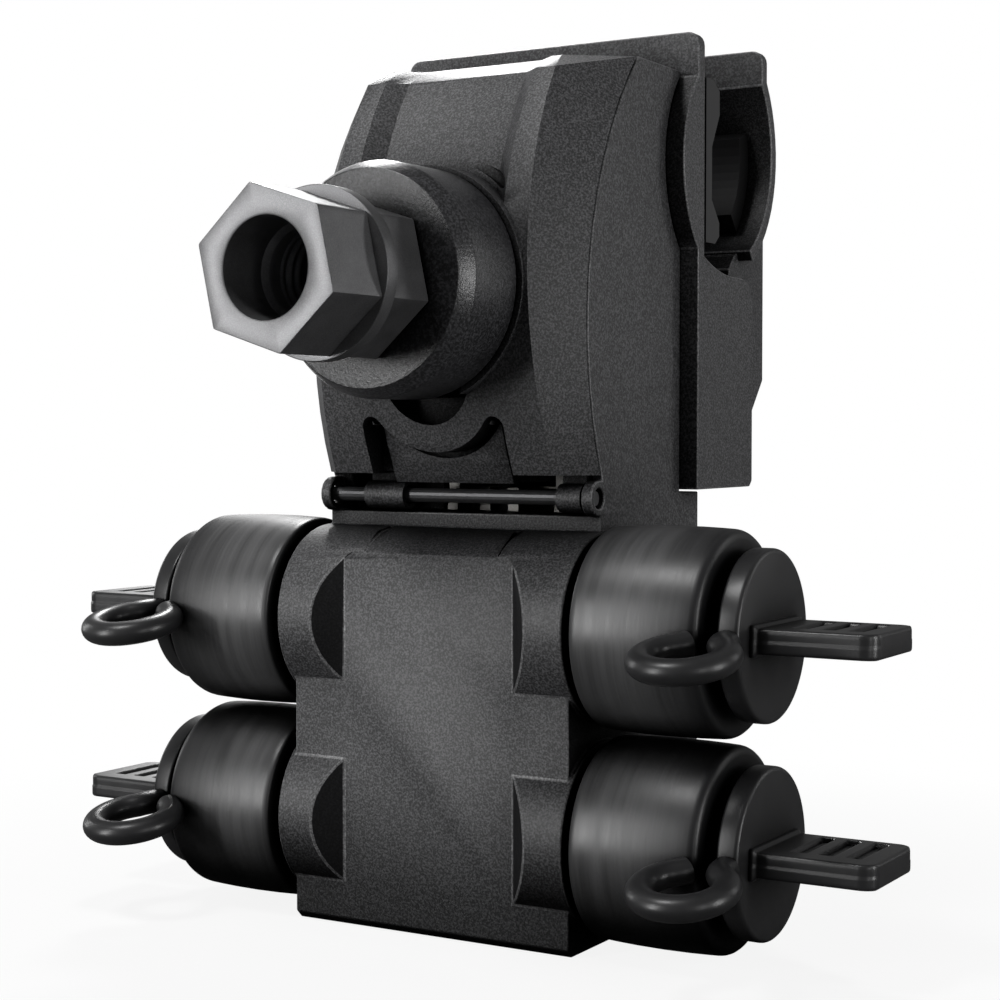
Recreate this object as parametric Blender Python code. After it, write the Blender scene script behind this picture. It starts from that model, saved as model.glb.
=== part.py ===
"""Four-tap insulation piercing connector, modelled at real size in metres.

X runs along the main conductor and the four ports, Y runs back from the nut, Z is up.
The origin lies in the flat underside of the tap block, under the port axes.
"""

import math

import bmesh
import bpy
from mathutils import Matrix, Vector

# Running gap between neighbouring pieces that touch on the real product
FIT = 0.0003

# Housing
BODY_HALF_WIDTH = 0.0155
PANEL_DEPTH = 0.00665        # front panel, ahead of the port axes
BODY_BACK = 0.0168           # back face, behind the port axes
BLOCK_BACK = 0.0212          # back of the lower block, under the saddle
BODY_RISE = 0.0224           # top of the body above the bolt axis
FOOT_CHAMFER = 0.0008
CORE_FRONT = 0.0080          # front of the solid core behind the clamp cover
ARM_THICKNESS = 0.0022
HINGE_FLOOR = 0.0407         # top of the tap block, under the hinge pin

# Ports, two rows of two
PORT_LOW_HEIGHT = 0.0105
PORT_PITCH = 0.0198
PORT_BORE_RADIUS = 0.0052
PORT_MID_WALL = 0.0020       # wall left between a left and a right bore
COLLAR_RADIUS = 0.0090
COLLAR_INNER = 0.0096        # where a collar's slanted end meets the panel
COLLAR_SLANT = 1.04          # how far that end runs out for each unit it stands proud
COLLAR_STAND = 0.0005        # how far a collar stands out past the body's side
LIP_DEPTH = 0.0004           # lip above the shoulder, ahead of the port axes
SHOULDER_STEP = 0.00008      # the rounded shoulder between two collars lies this much lower
SPIGOT_RADIUS = 0.0070
SPIGOT_LENGTH = 0.0085

# Rubber boots on the spigots
BOOT_RADIUS = 0.00975
BOOT_GAP = 0.0010            # between a collar and its boot
BOOT_LENGTH = 0.0127
BOOT_LIP_LENGTH = 0.0049
BOOT_MOUTH_RADIUS = 0.0060
BOOT_EDGE = 0.0007

# Plugs in the boots
PLUG_GAP = 0.0012
PLUG_DISC_RADIUS = 0.00795
PLUG_DISC_THICKNESS = 0.0021
PLUG_DISC_EDGE = 0.0003
PLUG_STEM_LENGTH = 0.0054
TAB_LENGTH = 0.0115
TAB_HALF_WIDTH = 0.0052
TAB_THICKNESS = 0.0024
TAB_CORNER = 0.0011
TAB_RIB_COUNT = 3
TAB_RIB_PITCH = 0.0029
TAB_RIB_WIDTH = 0.0015
TAB_RIB_HALF_LENGTH = 0.0034
TAB_RIB_HEIGHT = 0.0004

# Tethers between boot and plug
TETHER_RADIUS = 0.0013
TETHER_LOOP_RADIUS = 0.0038
TETHER_LEG_SPACING = 0.0029
TETHER_DROOP = 0.0016

# Bolt, nut and collar, on one axis along Y
BOLT_RISE = 0.0219           # bolt axis above the top of the tap block
BOLT_RADIUS = 0.0036         # mean radius of the M8 thread
BOLT_HOLE_RADIUS = 0.0043
BOLT_TIP_DEPTH = 0.0100      # how far the bolt's tip lies inside the nut
BOLT_HEAD_ACROSS = 0.0130
BOLT_HEAD_THICKNESS = 0.0037
BOLT_HEAD_TURN = math.radians(30.0)
NUT_ACROSS = 0.0130
NUT_TURN = math.radians(-12.2)
NUT_OUTER_LENGTH = 0.0071
NUT_FLANGE_LENGTH = 0.0016
NUT_FLANGE_RADIUS = 0.00775
NUT_INNER_LENGTH = 0.0058
NUT_BORE_RADIUS = 0.00443
NUT_BORE_DEPTH = 0.0076
NUT_STEP_LENGTH = 0.0006
NUT_THREAD_RADIUS = 0.0039
THRUST_RADIUS = 0.0109
THRUST_FACE_RADIUS = 0.0100
THRUST_LENGTH = 0.0088
THRUST_CONE_LENGTH = 0.0017

# Clamp cover
COVER_CLEARANCE = 0.0039     # between the tap block's top and the cover
COVER_INSET = 0.0001         # top of the cover under the top of the body
COVER_FACE_RADIUS = 0.03836  # the front face is part of a cylinder about X
COVER_FACE_DEPTH = 0.03075   # centre of that cylinder, behind the port axes
COVER_FACE_DROP = 0.0014     # and under the bolt axis
COVER_RIM_RADIUS = 0.03789   # so is the line where it meets the body's arms
COVER_RIM_DEPTH = 0.03492
COVER_RIM_DROP = 0.0036
COVER_FACE_HALF_TOP = 0.01065
COVER_FACE_HALF_BOTTOM = 0.0125
COVER_WALL = 0.0028
COVER_SIDE_WALL = 0.0024
COVER_TOP_BEVEL = 0.0016
COVER_LEVELS = 14
SEAT_RADIUS = 0.0113
SEAT_FACE = -0.0078
COVER_BOSS_RADIUS = 0.0074
PANEL_RECESS_HALF = 0.0086
PANEL_RECESS_DEPTH = 0.0015
PANEL_RECESS_SLANT = 0.0019
PANEL_RECESS_RISE = 0.0064   # lower edge above the bolt axis
PANEL_RECESS_RUNOUT = 0.0010 # past the cover's top, where the panel stays open
CRESCENT_RADIUS = 0.0114     # inner edge of the curved hollows above the collar
CRESCENT_WIDTH = 0.0014      # at the wide end
CRESCENT_DEPTH = 0.0013
CRESCENT_START = 3.0         # degrees from the vertical
CRESCENT_END = 43.0
ARCH_RISE = 0.0096           # centre of the notch and of the band under it, above the cover's lower edge
NOTCH_RADIUS = 0.0049
BAND_WIDTH = 0.0026
ARCH_HALF_WIDTH = 0.0080
ARCH_SLOT_WIDTH = 0.00125
ARCH_HOOK_RADIUS = 0.0011    # rounding at the two upper ends of the cut-out
BAND_SLOT = 0.0006
TONGUE_DEPTH = 0.0019
TONGUE_DROP = 0.0009         # end of the tongue under the cover's lower edge
KNUCKLE_FRONT = -0.0019
KNUCKLE_BACK = 0.0009
KNUCKLE_LENGTH = 0.0027

# Hinge pin and its lugs
PIN_RADIUS = 0.0007
PIN_DEPTH = -0.0006
PIN_RISE = 0.0017            # above the top of the tap block
PIN_RECESS = 0.0004
COVER_LUG_RADIUS = 0.0014
COVER_LUG_WEB_SETBACK = 0.0001
COVER_LUG_START = 0.0058     # inner end of the left-hand lug
COVER_LUG_LENGTH = 0.0046
COVER_LUG_SHORT = 0.0026     # length of the right-hand lug, beside the body's
BODY_LUG_RADIUS = 0.0017
BODY_LUG_LENGTH = 0.0011

# Saddle behind the body, with its trough and wings
SADDLE_STAND = 0.00185       # how far it stands out past the body's side
SADDLE_PLATE = 0.0015
SADDLE_RISE = 0.0039         # top of the saddle above the top of the body
SADDLE_CLEARANCE = 0.0021    # between the tap block's top and the saddle
SADDLE_CORNER = 0.0013
WING_THICKNESS = 0.0015
WING_LENGTH = 0.0122
WING_CORNER = 0.0030
CHANNEL_RISE = 0.0022        # floor between the wings, above the bolt axis
TROUGH_RADIUS = 0.0126
TROUGH_RISE = 0.0132         # middle of the trough above the bolt axis
TROUGH_DEPTH = 0.0034        # how far the trough bulges ahead of the plate

# Seals
FRONT_SEAL_DROP = 0.0079     # lower edge under the middle of the trough
FRONT_SEAL_RISE = 0.0087     # upper edge above it
FRONT_SEAL_THICKNESS = 0.0014
SEAL_LIP = 0.0018
REAR_SEAL_THICKNESS = 0.0022
REAR_SEAL_HALF_WIDTH = 0.0147
REAR_SEAL_START = -42.0      # degrees round the hook's trough
REAR_SEAL_END = 14.0

# Rear jaw
JAW_GAP = 0.0100             # between saddle plate and open jaw
JAW_THICKNESS = 0.0091
JAW_DROP = 0.0117            # lower edge under the bolt axis
JAW_CHAMFER = 0.0028
JAW_HOOK_RISE = 0.0043       # lower end of the hook above the bolt axis
JAW_HOOK_WALL = 0.0013
JAW_HOOK_START = -57.0       # degrees round the trough, from its lower end
JAW_HOOK_END = 38.0          # to where the hook runs straight up
JAW_TOP_RISE = 0.0113        # top of the hook above the centre of its trough
JAW_TROUGH_RADIUS = 0.0123
JAW_TROUGH_DEPTH = 0.0048    # centre of its trough behind the saddle plate
JAW_TROUGH_RISE = 0.0024     # and above the middle of the saddle's trough
JAW_SHOULDER = 0.0042        # top of the foot's back under the middle of the trough
JAW_POCKET_WALL = 0.0016
JAW_WEB = 0.0040

# Contacts
CONTACT_THICKNESS = 0.0012
CONTACT_INNER = 0.00105      # inner flange, from the middle plane
CONTACT_OUTER = 0.0057       # outer flange, from the middle plane
CONTACT_FRONT = 0.0070
CONTACT_BACK = 0.0124
CONTACT_BOTTOM = 0.0036
CONTACT_LOW_RISE = 0.0023    # top of the wide part above the top of the tap block
CONTACT_ARM_WIDTH = 0.0098
CONTACT_ARM_RISE = 0.0041    # top of the arm above the middle of the trough
CONTACT_REACH = 0.0030       # tips of the teeth behind the saddle plate
TOOTH_HEIGHT = 0.0014
TOOTH_COUNT = 4
TAP_TOOTH_TIP = 0.0036
TAP_TOOTH_COUNT = 3
TAP_TOOTH_PITCH = 0.0019

# Worked out from the sizes above
PORT_HEIGHTS = {"lower": PORT_LOW_HEIGHT, "upper": PORT_LOW_HEIGHT + PORT_PITCH}
SIDES = {"left": -1, "right": 1}
COLLAR_END = BODY_HALF_WIDTH + COLLAR_STAND
BOOT_START = COLLAR_END + BOOT_GAP
BOOT_END = BOOT_START + BOOT_LENGTH
BOLT_HEIGHT = HINGE_FLOOR + BOLT_RISE
BODY_TOP = BOLT_HEIGHT + BODY_RISE
COVER_BOTTOM = HINGE_FLOOR + COVER_CLEARANCE
COVER_TOP = BODY_TOP - COVER_INSET
COVER_FACE_CENTRE = (COVER_FACE_DEPTH, BOLT_HEIGHT - COVER_FACE_DROP)
COVER_RIM_CENTRE = (COVER_RIM_DEPTH, BOLT_HEIGHT - COVER_RIM_DROP)
PANEL_RECESS_BOTTOM = BOLT_HEIGHT + PANEL_RECESS_RISE
PANEL_RECESS_TOP = COVER_TOP + PANEL_RECESS_RUNOUT
ARCH_HEIGHT = COVER_BOTTOM + ARCH_RISE
KNUCKLE_TOP = COVER_BOTTOM + KNUCKLE_LENGTH
PIN_HEIGHT = HINGE_FLOOR + PIN_RISE
SADDLE_HALF_WIDTH = BODY_HALF_WIDTH + SADDLE_STAND
SADDLE_TOP = BODY_TOP + SADDLE_RISE
SADDLE_BOTTOM = HINGE_FLOOR + SADDLE_CLEARANCE
SADDLE_FRONT = BODY_BACK + FIT
SADDLE_BACK = SADDLE_FRONT + SADDLE_PLATE
WING_BACK = SADDLE_BACK + WING_LENGTH
CHANNEL_FLOOR = BOLT_HEIGHT + CHANNEL_RISE
TROUGH_HEIGHT = BOLT_HEIGHT + TROUGH_RISE
FRONT_SEAL_BOTTOM = TROUGH_HEIGHT - FRONT_SEAL_DROP
FRONT_SEAL_TOP = TROUGH_HEIGHT + FRONT_SEAL_RISE
JAW_FRONT = SADDLE_BACK + JAW_GAP
JAW_BACK = JAW_FRONT + JAW_THICKNESS
JAW_BOTTOM = BOLT_HEIGHT - JAW_DROP
JAW_HOOK_BOTTOM = BOLT_HEIGHT + JAW_HOOK_RISE
JAW_TROUGH_CENTRE = (SADDLE_BACK + JAW_TROUGH_DEPTH, TROUGH_HEIGHT + JAW_TROUGH_RISE)
JAW_TOP = JAW_TROUGH_CENTRE[1] + JAW_TOP_RISE
CONTACT_LOW_TOP = HINGE_FLOOR + CONTACT_LOW_RISE
CONTACT_ARM_TOP = TROUGH_HEIGHT + CONTACT_ARM_RISE
CONTACT_ARM_BOTTOM = CONTACT_ARM_TOP - CONTACT_ARM_WIDTH
CONTACT_TIP = SADDLE_BACK + CONTACT_REACH
TROUGH_CENTRE = SADDLE_FRONT - TROUGH_DEPTH + TROUGH_RADIUS
THRUST_BACK = SEAT_FACE - FIT
THRUST_FRONT = THRUST_BACK - THRUST_LENGTH
NUT_BACK = THRUST_FRONT - FIT
NUT_FRONT = NUT_BACK - NUT_INNER_LENGTH - NUT_FLANGE_LENGTH - NUT_OUTER_LENGTH
BOLT_SEAT = JAW_FRONT + JAW_WEB
BOLT_HEAD_BOTTOM = BOLT_SEAT + FIT
JAW_HALF_WIDTH = SADDLE_HALF_WIDTH - WING_THICKNESS - FIT

PLASTIC = ("housing_plastic", (0.028, 0.028, 0.030), 0.55, 0.0)
RUBBER = ("boot_rubber", (0.012, 0.012, 0.013), 0.38, 0.0)
SOFT = ("seal_rubber", (0.020, 0.020, 0.021), 0.60, 0.0)
NUT_METAL = ("nut_metal", (0.17, 0.17, 0.18), 0.38, 0.85)
STEEL = ("zinc_steel", (0.42, 0.42, 0.43), 0.32, 1.0)
COPPER = ("tinned_copper", (0.62, 0.60, 0.57), 0.28, 1.0)


def clear_scene():
    for item in list(bpy.data.objects):
        bpy.data.objects.remove(item, do_unlink=True)


def material(kind):
    """One Principled material, made the first time that it is asked for."""
    name, colour, roughness, metallic = kind
    found = bpy.data.materials.get(name)
    if found:
        return found
    made = bpy.data.materials.new(name)
    made.use_nodes = True
    shader = made.node_tree.nodes["Principled BSDF"]
    shader.inputs["Base Color"].default_value = (*colour, 1.0)
    shader.inputs["Roughness"].default_value = roughness
    shader.inputs["Metallic"].default_value = metallic
    return made


def to_object(bm, name):
    """Turns a bmesh into an object with its faces pointing out."""
    bmesh.ops.remove_doubles(bm, verts=bm.verts, dist=1e-7)
    bmesh.ops.recalc_face_normals(bm, faces=bm.faces)
    mesh = bpy.data.meshes.new(name)
    bm.to_mesh(mesh)
    bm.free()
    made = bpy.data.objects.new(name, mesh)
    bpy.context.collection.objects.link(made)
    return made


def prism(name, outline, low, high, axis):
    """Extrudes an outline along an axis. It lies in (y, z), (x, z) or (x, y) for X, Y or Z."""
    place = {
        "X": lambda a, b, c: (c, a, b),
        "Y": lambda a, b, c: (a, c, b),
        "Z": lambda a, b, c: (a, b, c),
    }[axis]
    bm = bmesh.new()
    verts = [bm.verts.new(place(a, b, low)) for a, b in outline]
    face = bm.faces.new(verts)
    pushed = bmesh.ops.extrude_face_region(bm, geom=[face])
    moved = [item for item in pushed["geom"] if isinstance(item, bmesh.types.BMVert)]
    shift = Vector(place(0.0, 0.0, high - low))
    bmesh.ops.translate(bm, verts=moved, vec=shift)
    return to_object(bm, name)


def block(name, low, high):
    outline = [(low[0], low[1]), (high[0], low[1]), (high[0], high[1]), (low[0], high[1])]
    return prism(name, outline, low[2], high[2], "Z")


def turned(name, profile, axis, centre, segments=40):
    """Turns a profile of (distance along the axis, radius) points about an axis through centre.

    A profile that comes back to its first point makes a ring; any other one gets flat ends.
    """
    ring = profile[0] == profile[-1]
    stations = [point for point in (profile[:-1] if ring else profile) if point[1] > 0.0]
    angles = [math.tau * i / segments for i in range(segments)]
    bm = bmesh.new()
    rows = []
    for along, radius in stations:
        row = []
        for angle in angles:
            across = radius * math.sin(angle)
            up = radius * math.cos(angle)
            place = (along, across, up) if axis == "X" else (across, along, up)
            row.append(bm.verts.new(Vector(place) + Vector(centre)))
        rows.append(row)
    pairs = list(zip(rows, rows[1:]))
    if ring:
        pairs.append((rows[-1], rows[0]))
    for first, second in pairs:
        for i in range(segments):
            j = (i + 1) % segments
            bm.faces.new((first[i], first[j], second[j], second[i]))
    if not ring:
        bm.faces.new(rows[0])
        bm.faces.new(rows[-1])
    return to_object(bm, name)


def rod(name, radius, low, high, axis, centre, segments=32):
    profile = [(low, 0.0), (low, radius), (high, radius), (high, 0.0)]
    return turned(name, profile, axis, centre, segments)


def combine(target, tool, operation):
    """Applies one exact Boolean to target and removes the tool."""
    modifier = target.modifiers.new("combine", "BOOLEAN")
    modifier.operation = operation
    modifier.solver = "EXACT"
    modifier.object = tool
    bpy.context.view_layer.update()
    graph = bpy.context.evaluated_depsgraph_get()
    mesh = bpy.data.meshes.new_from_object(target.evaluated_get(graph))
    target.modifiers.clear()
    target.data = mesh
    bpy.data.objects.remove(tool, do_unlink=True)


def cut(target, *tools):
    for tool in tools:
        combine(target, tool, "DIFFERENCE")


def add(target, *tools):
    for tool in tools:
        combine(target, tool, "UNION")


def finish(made, name, kind, smooth_angle=35.0):
    made.name = name
    made.data.name = name
    made.data.materials.clear()
    made.data.materials.append(material(kind))
    made.data.shade_smooth()
    made.data.set_sharp_from_angle(angle=math.radians(smooth_angle))
    return made


def arc(centre, radius, start, end, steps):
    """Points on a circle, from one angle to another in degrees."""
    angles = [math.radians(start + (end - start) * i / steps) for i in range(steps + 1)]
    return [(centre[0] + radius * math.cos(a), centre[1] + radius * math.sin(a)) for a in angles]


def face_depth(height):
    """Y of the cover's front face at a height."""
    rise = height - COVER_FACE_CENTRE[1]
    return COVER_FACE_CENTRE[0] - math.sqrt(COVER_FACE_RADIUS ** 2 - rise ** 2)


def rim_depth(height):
    """Y of the line where cover and arms meet, at a height."""
    rise = height - COVER_RIM_CENTRE[1]
    return COVER_RIM_CENTRE[0] - math.sqrt(COVER_RIM_RADIUS ** 2 - rise ** 2)


def face_half_width(height):
    share = (height - COVER_BOTTOM) / (COVER_TOP - COVER_BOTTOM)
    return COVER_FACE_HALF_BOTTOM + (COVER_FACE_HALF_TOP - COVER_FACE_HALF_BOTTOM) * share


def spread(low, high, count):
    return [low + (high - low) * i / (count - 1) for i in range(count)]


def loft(name, sections):
    """Joins horizontal sections, each a list of (x, y) points with its height, into one solid."""
    bm = bmesh.new()
    rows = [[bm.verts.new((x, y, height)) for x, y in points] for height, points in sections]
    for lower, upper in zip(rows, rows[1:]):
        for i in range(len(lower)):
            j = (i + 1) % len(lower)
            bm.faces.new((lower[i], lower[j], upper[j], upper[i]))
    bm.faces.new(rows[0])
    bm.faces.new(rows[-1])
    return to_object(bm, name)


def tooth_row(base, tip, low, pitch, count):
    """Saw teeth up a vertical edge, as (y, z) points from the lowest root to the highest."""
    points = [(base, low)]
    for i in range(count):
        points.append((tip, low + pitch * (i + 0.5)))
        points.append((base, low + pitch * (i + 1)))
    return points


def hexagon(across, turn=0.0):
    corner = across / math.sqrt(3.0)
    angles = [turn + math.radians(60.0 * i) for i in range(6)]
    return [(corner * math.sin(a), BOLT_HEIGHT + corner * math.cos(a)) for a in angles]


def tap_block_outline():
    """Side outline of the core: flat panel, rounded shoulder, hinge floor and clamp wall."""
    top_port = PORT_HEIGHTS["upper"]
    radius = COLLAR_RADIUS - SHOULDER_STEP
    lean = math.degrees(math.acos(-PANEL_DEPTH / radius))
    lip = math.degrees(math.acos(-LIP_DEPTH / radius))
    shoulder = arc((0.0, top_port), radius, lean, lip, 7)
    outline = [(-PANEL_DEPTH + FOOT_CHAMFER, 0.0), (-PANEL_DEPTH, FOOT_CHAMFER)]
    outline += shoulder
    outline += [(-LIP_DEPTH, HINGE_FLOOR), (CORE_FRONT, HINGE_FLOOR), (CORE_FRONT, BODY_TOP)]
    step = SADDLE_BOTTOM - FIT
    outline += [(BODY_BACK, BODY_TOP), (BODY_BACK, step), (BLOCK_BACK, step)]
    outline += [(BLOCK_BACK, FOOT_CHAMFER), (BLOCK_BACK - FOOT_CHAMFER, 0.0)]
    return outline


def arm_outline():
    """Side outline of an arm, whose front edge carries the clamp cover."""
    front = [(rim_depth(h), h) for h in spread(BODY_TOP, HINGE_FLOOR - 0.0015, COVER_LEVELS)]
    back = CORE_FRONT + 0.001
    return [(back, BODY_TOP)] + front + [(back, HINGE_FLOOR - 0.0015)]


def collar(side, height):
    """A port collar: a disc-ended cylinder, cut at a slant where it leaves the panel."""
    start = COLLAR_INNER - 0.002
    shape = rod("collar", COLLAR_RADIUS, start, COLLAR_END, "X", (0.0, 0.0, height), 48)
    reach = COLLAR_RADIUS + 0.002
    buried = PANEL_DEPTH - 0.0006
    outer = COLLAR_INNER + (reach - PANEL_DEPTH) * COLLAR_SLANT
    inner = COLLAR_INNER + (buried - PANEL_DEPTH) * COLLAR_SLANT
    wedge = [(0.0, -buried), (inner, -buried), (outer, -reach), (0.0, -reach)]
    cut(shape, prism("wedge", wedge, height - reach, height + reach, "Z"))
    if side < 0:
        mirror_x(shape)
    return shape


def mirror_x(made):
    """Mirrors a mesh in the middle plane and keeps its faces pointing out."""
    bm = bmesh.new()
    bm.from_mesh(made.data)
    bmesh.ops.transform(bm, matrix=Matrix.Scale(-1.0, 4, (1.0, 0.0, 0.0)), verts=bm.verts)
    bmesh.ops.reverse_faces(bm, faces=bm.faces)
    bm.to_mesh(made.data)
    bm.free()
    return made


def span(side, low, high):
    """An X interval on one side of the middle plane, in rising order."""
    return (low, high) if side > 0 else (-high, -low)


def side_block(name, side, x_span, y_span, z_span):
    low_x, high_x = span(side, *x_span)
    return block(name, (low_x, y_span[0], z_span[0]), (high_x, y_span[1], z_span[1]))


def bore(name, radius, side, x_span, height, segments=32):
    low, high = span(side, *x_span)
    return rod(name, radius, low, high, "X", (0.0, 0.0, height), segments)


def band_arc(radius, lean, steps):
    """Lower part of a circle about the notch's centre, as (x, z), from left to right."""
    return arc((0.0, ARCH_HEIGHT), radius, 180.0 + lean, 360.0 - lean, steps)


def arch_hook():
    """Centre (x, z) of the right-hand hook's rounding, and the lean of its line to the notch."""
    hook_x = ARCH_HALF_WIDTH - ARCH_HOOK_RADIUS
    reach = NOTCH_RADIUS + BAND_WIDTH + ARCH_HOOK_RADIUS
    drop = math.sqrt(reach ** 2 - hook_x ** 2)
    return (hook_x, ARCH_HEIGHT - drop), math.degrees(math.atan2(drop, hook_x))


def arch_outline():
    """Front view of the slot between the arch's edge and the tongue, as (x, z)."""
    (hook_x, hook_z), lean = arch_hook()
    low = COVER_BOTTOM - 0.001
    band = NOTCH_RADIUS + BAND_WIDTH
    tongue = ARCH_HALF_WIDTH - ARCH_SLOT_WIDTH
    outline = [(-ARCH_HALF_WIDTH, low)]
    outline += arc((-hook_x, hook_z), ARCH_HOOK_RADIUS, 180.0, lean, 6)
    outline += band_arc(band, lean, 14)[1:-1]
    outline += arc((hook_x, hook_z), ARCH_HOOK_RADIUS, 180.0 - lean, 0.0, 6)
    outline += [(ARCH_HALF_WIDTH, low), (tongue, low)]
    tongue_lean = math.degrees(math.acos(tongue / (band + BAND_SLOT)))
    outline += reversed(band_arc(band + BAND_SLOT, tongue_lean, 14))
    outline += [(-tongue, low)]
    return outline


def tongue_outline():
    """Front view of the tongue, widened to the middle of the slot round it."""
    (hook_x, hook_z), lean = arch_hook()
    half = ARCH_HALF_WIDTH - ARCH_SLOT_WIDTH / 2.0
    low = COVER_BOTTOM - 0.0015
    middle = band_arc(NOTCH_RADIUS + BAND_WIDTH + BAND_SLOT / 2.0, lean, 14)
    return [(-half, low), (-half, hook_z)] + middle + [(half, hook_z), (half, low)]


def build_tap_block():
    body = prism("body", tap_block_outline(), -BODY_HALF_WIDTH, BODY_HALF_WIDTH, "X")
    for side in SIDES.values():
        low, high = span(side, BODY_HALF_WIDTH - ARM_THICKNESS, BODY_HALF_WIDTH)
        add(body, prism("arm", arm_outline(), low, high, "X"))
    pin_centre = (PIN_DEPTH, PIN_HEIGHT)
    for side in SIDES.values():
        outline = [(CORE_FRONT * 0.4, PIN_HEIGHT - BODY_LUG_RADIUS)]
        outline += arc(pin_centre, BODY_LUG_RADIUS, 270.0, 90.0, 10)
        outline += [(CORE_FRONT * 0.4, PIN_HEIGHT + BODY_LUG_RADIUS)]
        low, high = span(side, BODY_HALF_WIDTH - BODY_LUG_LENGTH, BODY_HALF_WIDTH)
        add(body, prism("lug", outline, low, high, "X"))
    # the right-hand knuckle of the cover sits in front of the arm's lower end
    cut(body, block("knuckle_room", (BODY_HALF_WIDTH - ARM_THICKNESS - 0.001, -0.02, HINGE_FLOOR),
                    (BODY_HALF_WIDTH - BODY_LUG_LENGTH, KNUCKLE_BACK + FIT, KNUCKLE_TOP + FIT)))
    for side in SIDES.values():
        for height in PORT_HEIGHTS.values():
            add(body, collar(side, height))
            spigot_end = COLLAR_END + SPIGOT_LENGTH
            add(body, bore("spigot", SPIGOT_RADIUS, side, (BODY_HALF_WIDTH - 0.002, spigot_end), height))
    for side in SIDES.values():
        for height in PORT_HEIGHTS.values():
            reach = COLLAR_END + SPIGOT_LENGTH + 0.001
            cut(body, bore("bore", PORT_BORE_RADIUS, side, (PORT_MID_WALL / 2.0, reach), height))
    cut_contact_chambers(body)
    trough = TROUGH_RADIUS + FIT
    cut(body, rod("trough", trough, -0.03, 0.03, "X", (0.0, TROUGH_CENTRE, TROUGH_HEIGHT), 56))
    cut(body, rod("bolt_hole", BOLT_HOLE_RADIUS, -0.01, 0.03, "Y", (0.0, 0.0, BOLT_HEIGHT)))
    cut(body, rod("pin_hole", PIN_RADIUS + FIT, -0.03, 0.03, "X", (0.0, PIN_DEPTH, PIN_HEIGHT), 16))
    return finish(body, "tap_block", PLASTIC)


def cut_contact_chambers(body):
    """One chamber for each folded contact, and a slot for its tall flange and upper arm."""
    inner = CONTACT_INNER - FIT
    outer = CONTACT_OUTER + CONTACT_THICKNESS + FIT
    flange = (CONTACT_OUTER - FIT, outer)
    front = CONTACT_FRONT - FIT
    back = CONTACT_BACK + FIT
    low = CONTACT_BOTTOM - FIT
    tooth_half = TAP_TOOTH_PITCH * TAP_TOOTH_COUNT / 2.0 + FIT
    for side in SIDES.values():
        cut(body, side_block("chamber", side, (inner, outer), (front, back),
                             (low, CONTACT_LOW_TOP + 2.0 * FIT)))
        for height in PORT_HEIGHTS.values():
            cut(body, side_block("teeth", side, (inner, outer), (TAP_TOOTH_TIP - FIT, front + FIT),
                                 (height - tooth_half, height + tooth_half)))
        cut(body, side_block("flange_slot", side, flange, (front, back),
                             (CONTACT_LOW_TOP - FIT, CONTACT_ARM_TOP + FIT)))
        cut(body, side_block("arm_slot", side, flange, (back - FIT, BODY_BACK + FIT),
                             (CONTACT_ARM_BOTTOM - FIT, CONTACT_ARM_TOP + FIT)))


def cover_section(height, inset, side_inset, back_extra):
    half = face_half_width(height) - inset * 0.5
    front = face_depth(height) + inset
    back = rim_depth(height) - FIT + back_extra
    edge = BODY_HALF_WIDTH - side_inset
    return [(-edge, back), (-half, front), (half, front), (edge, back)]


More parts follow.
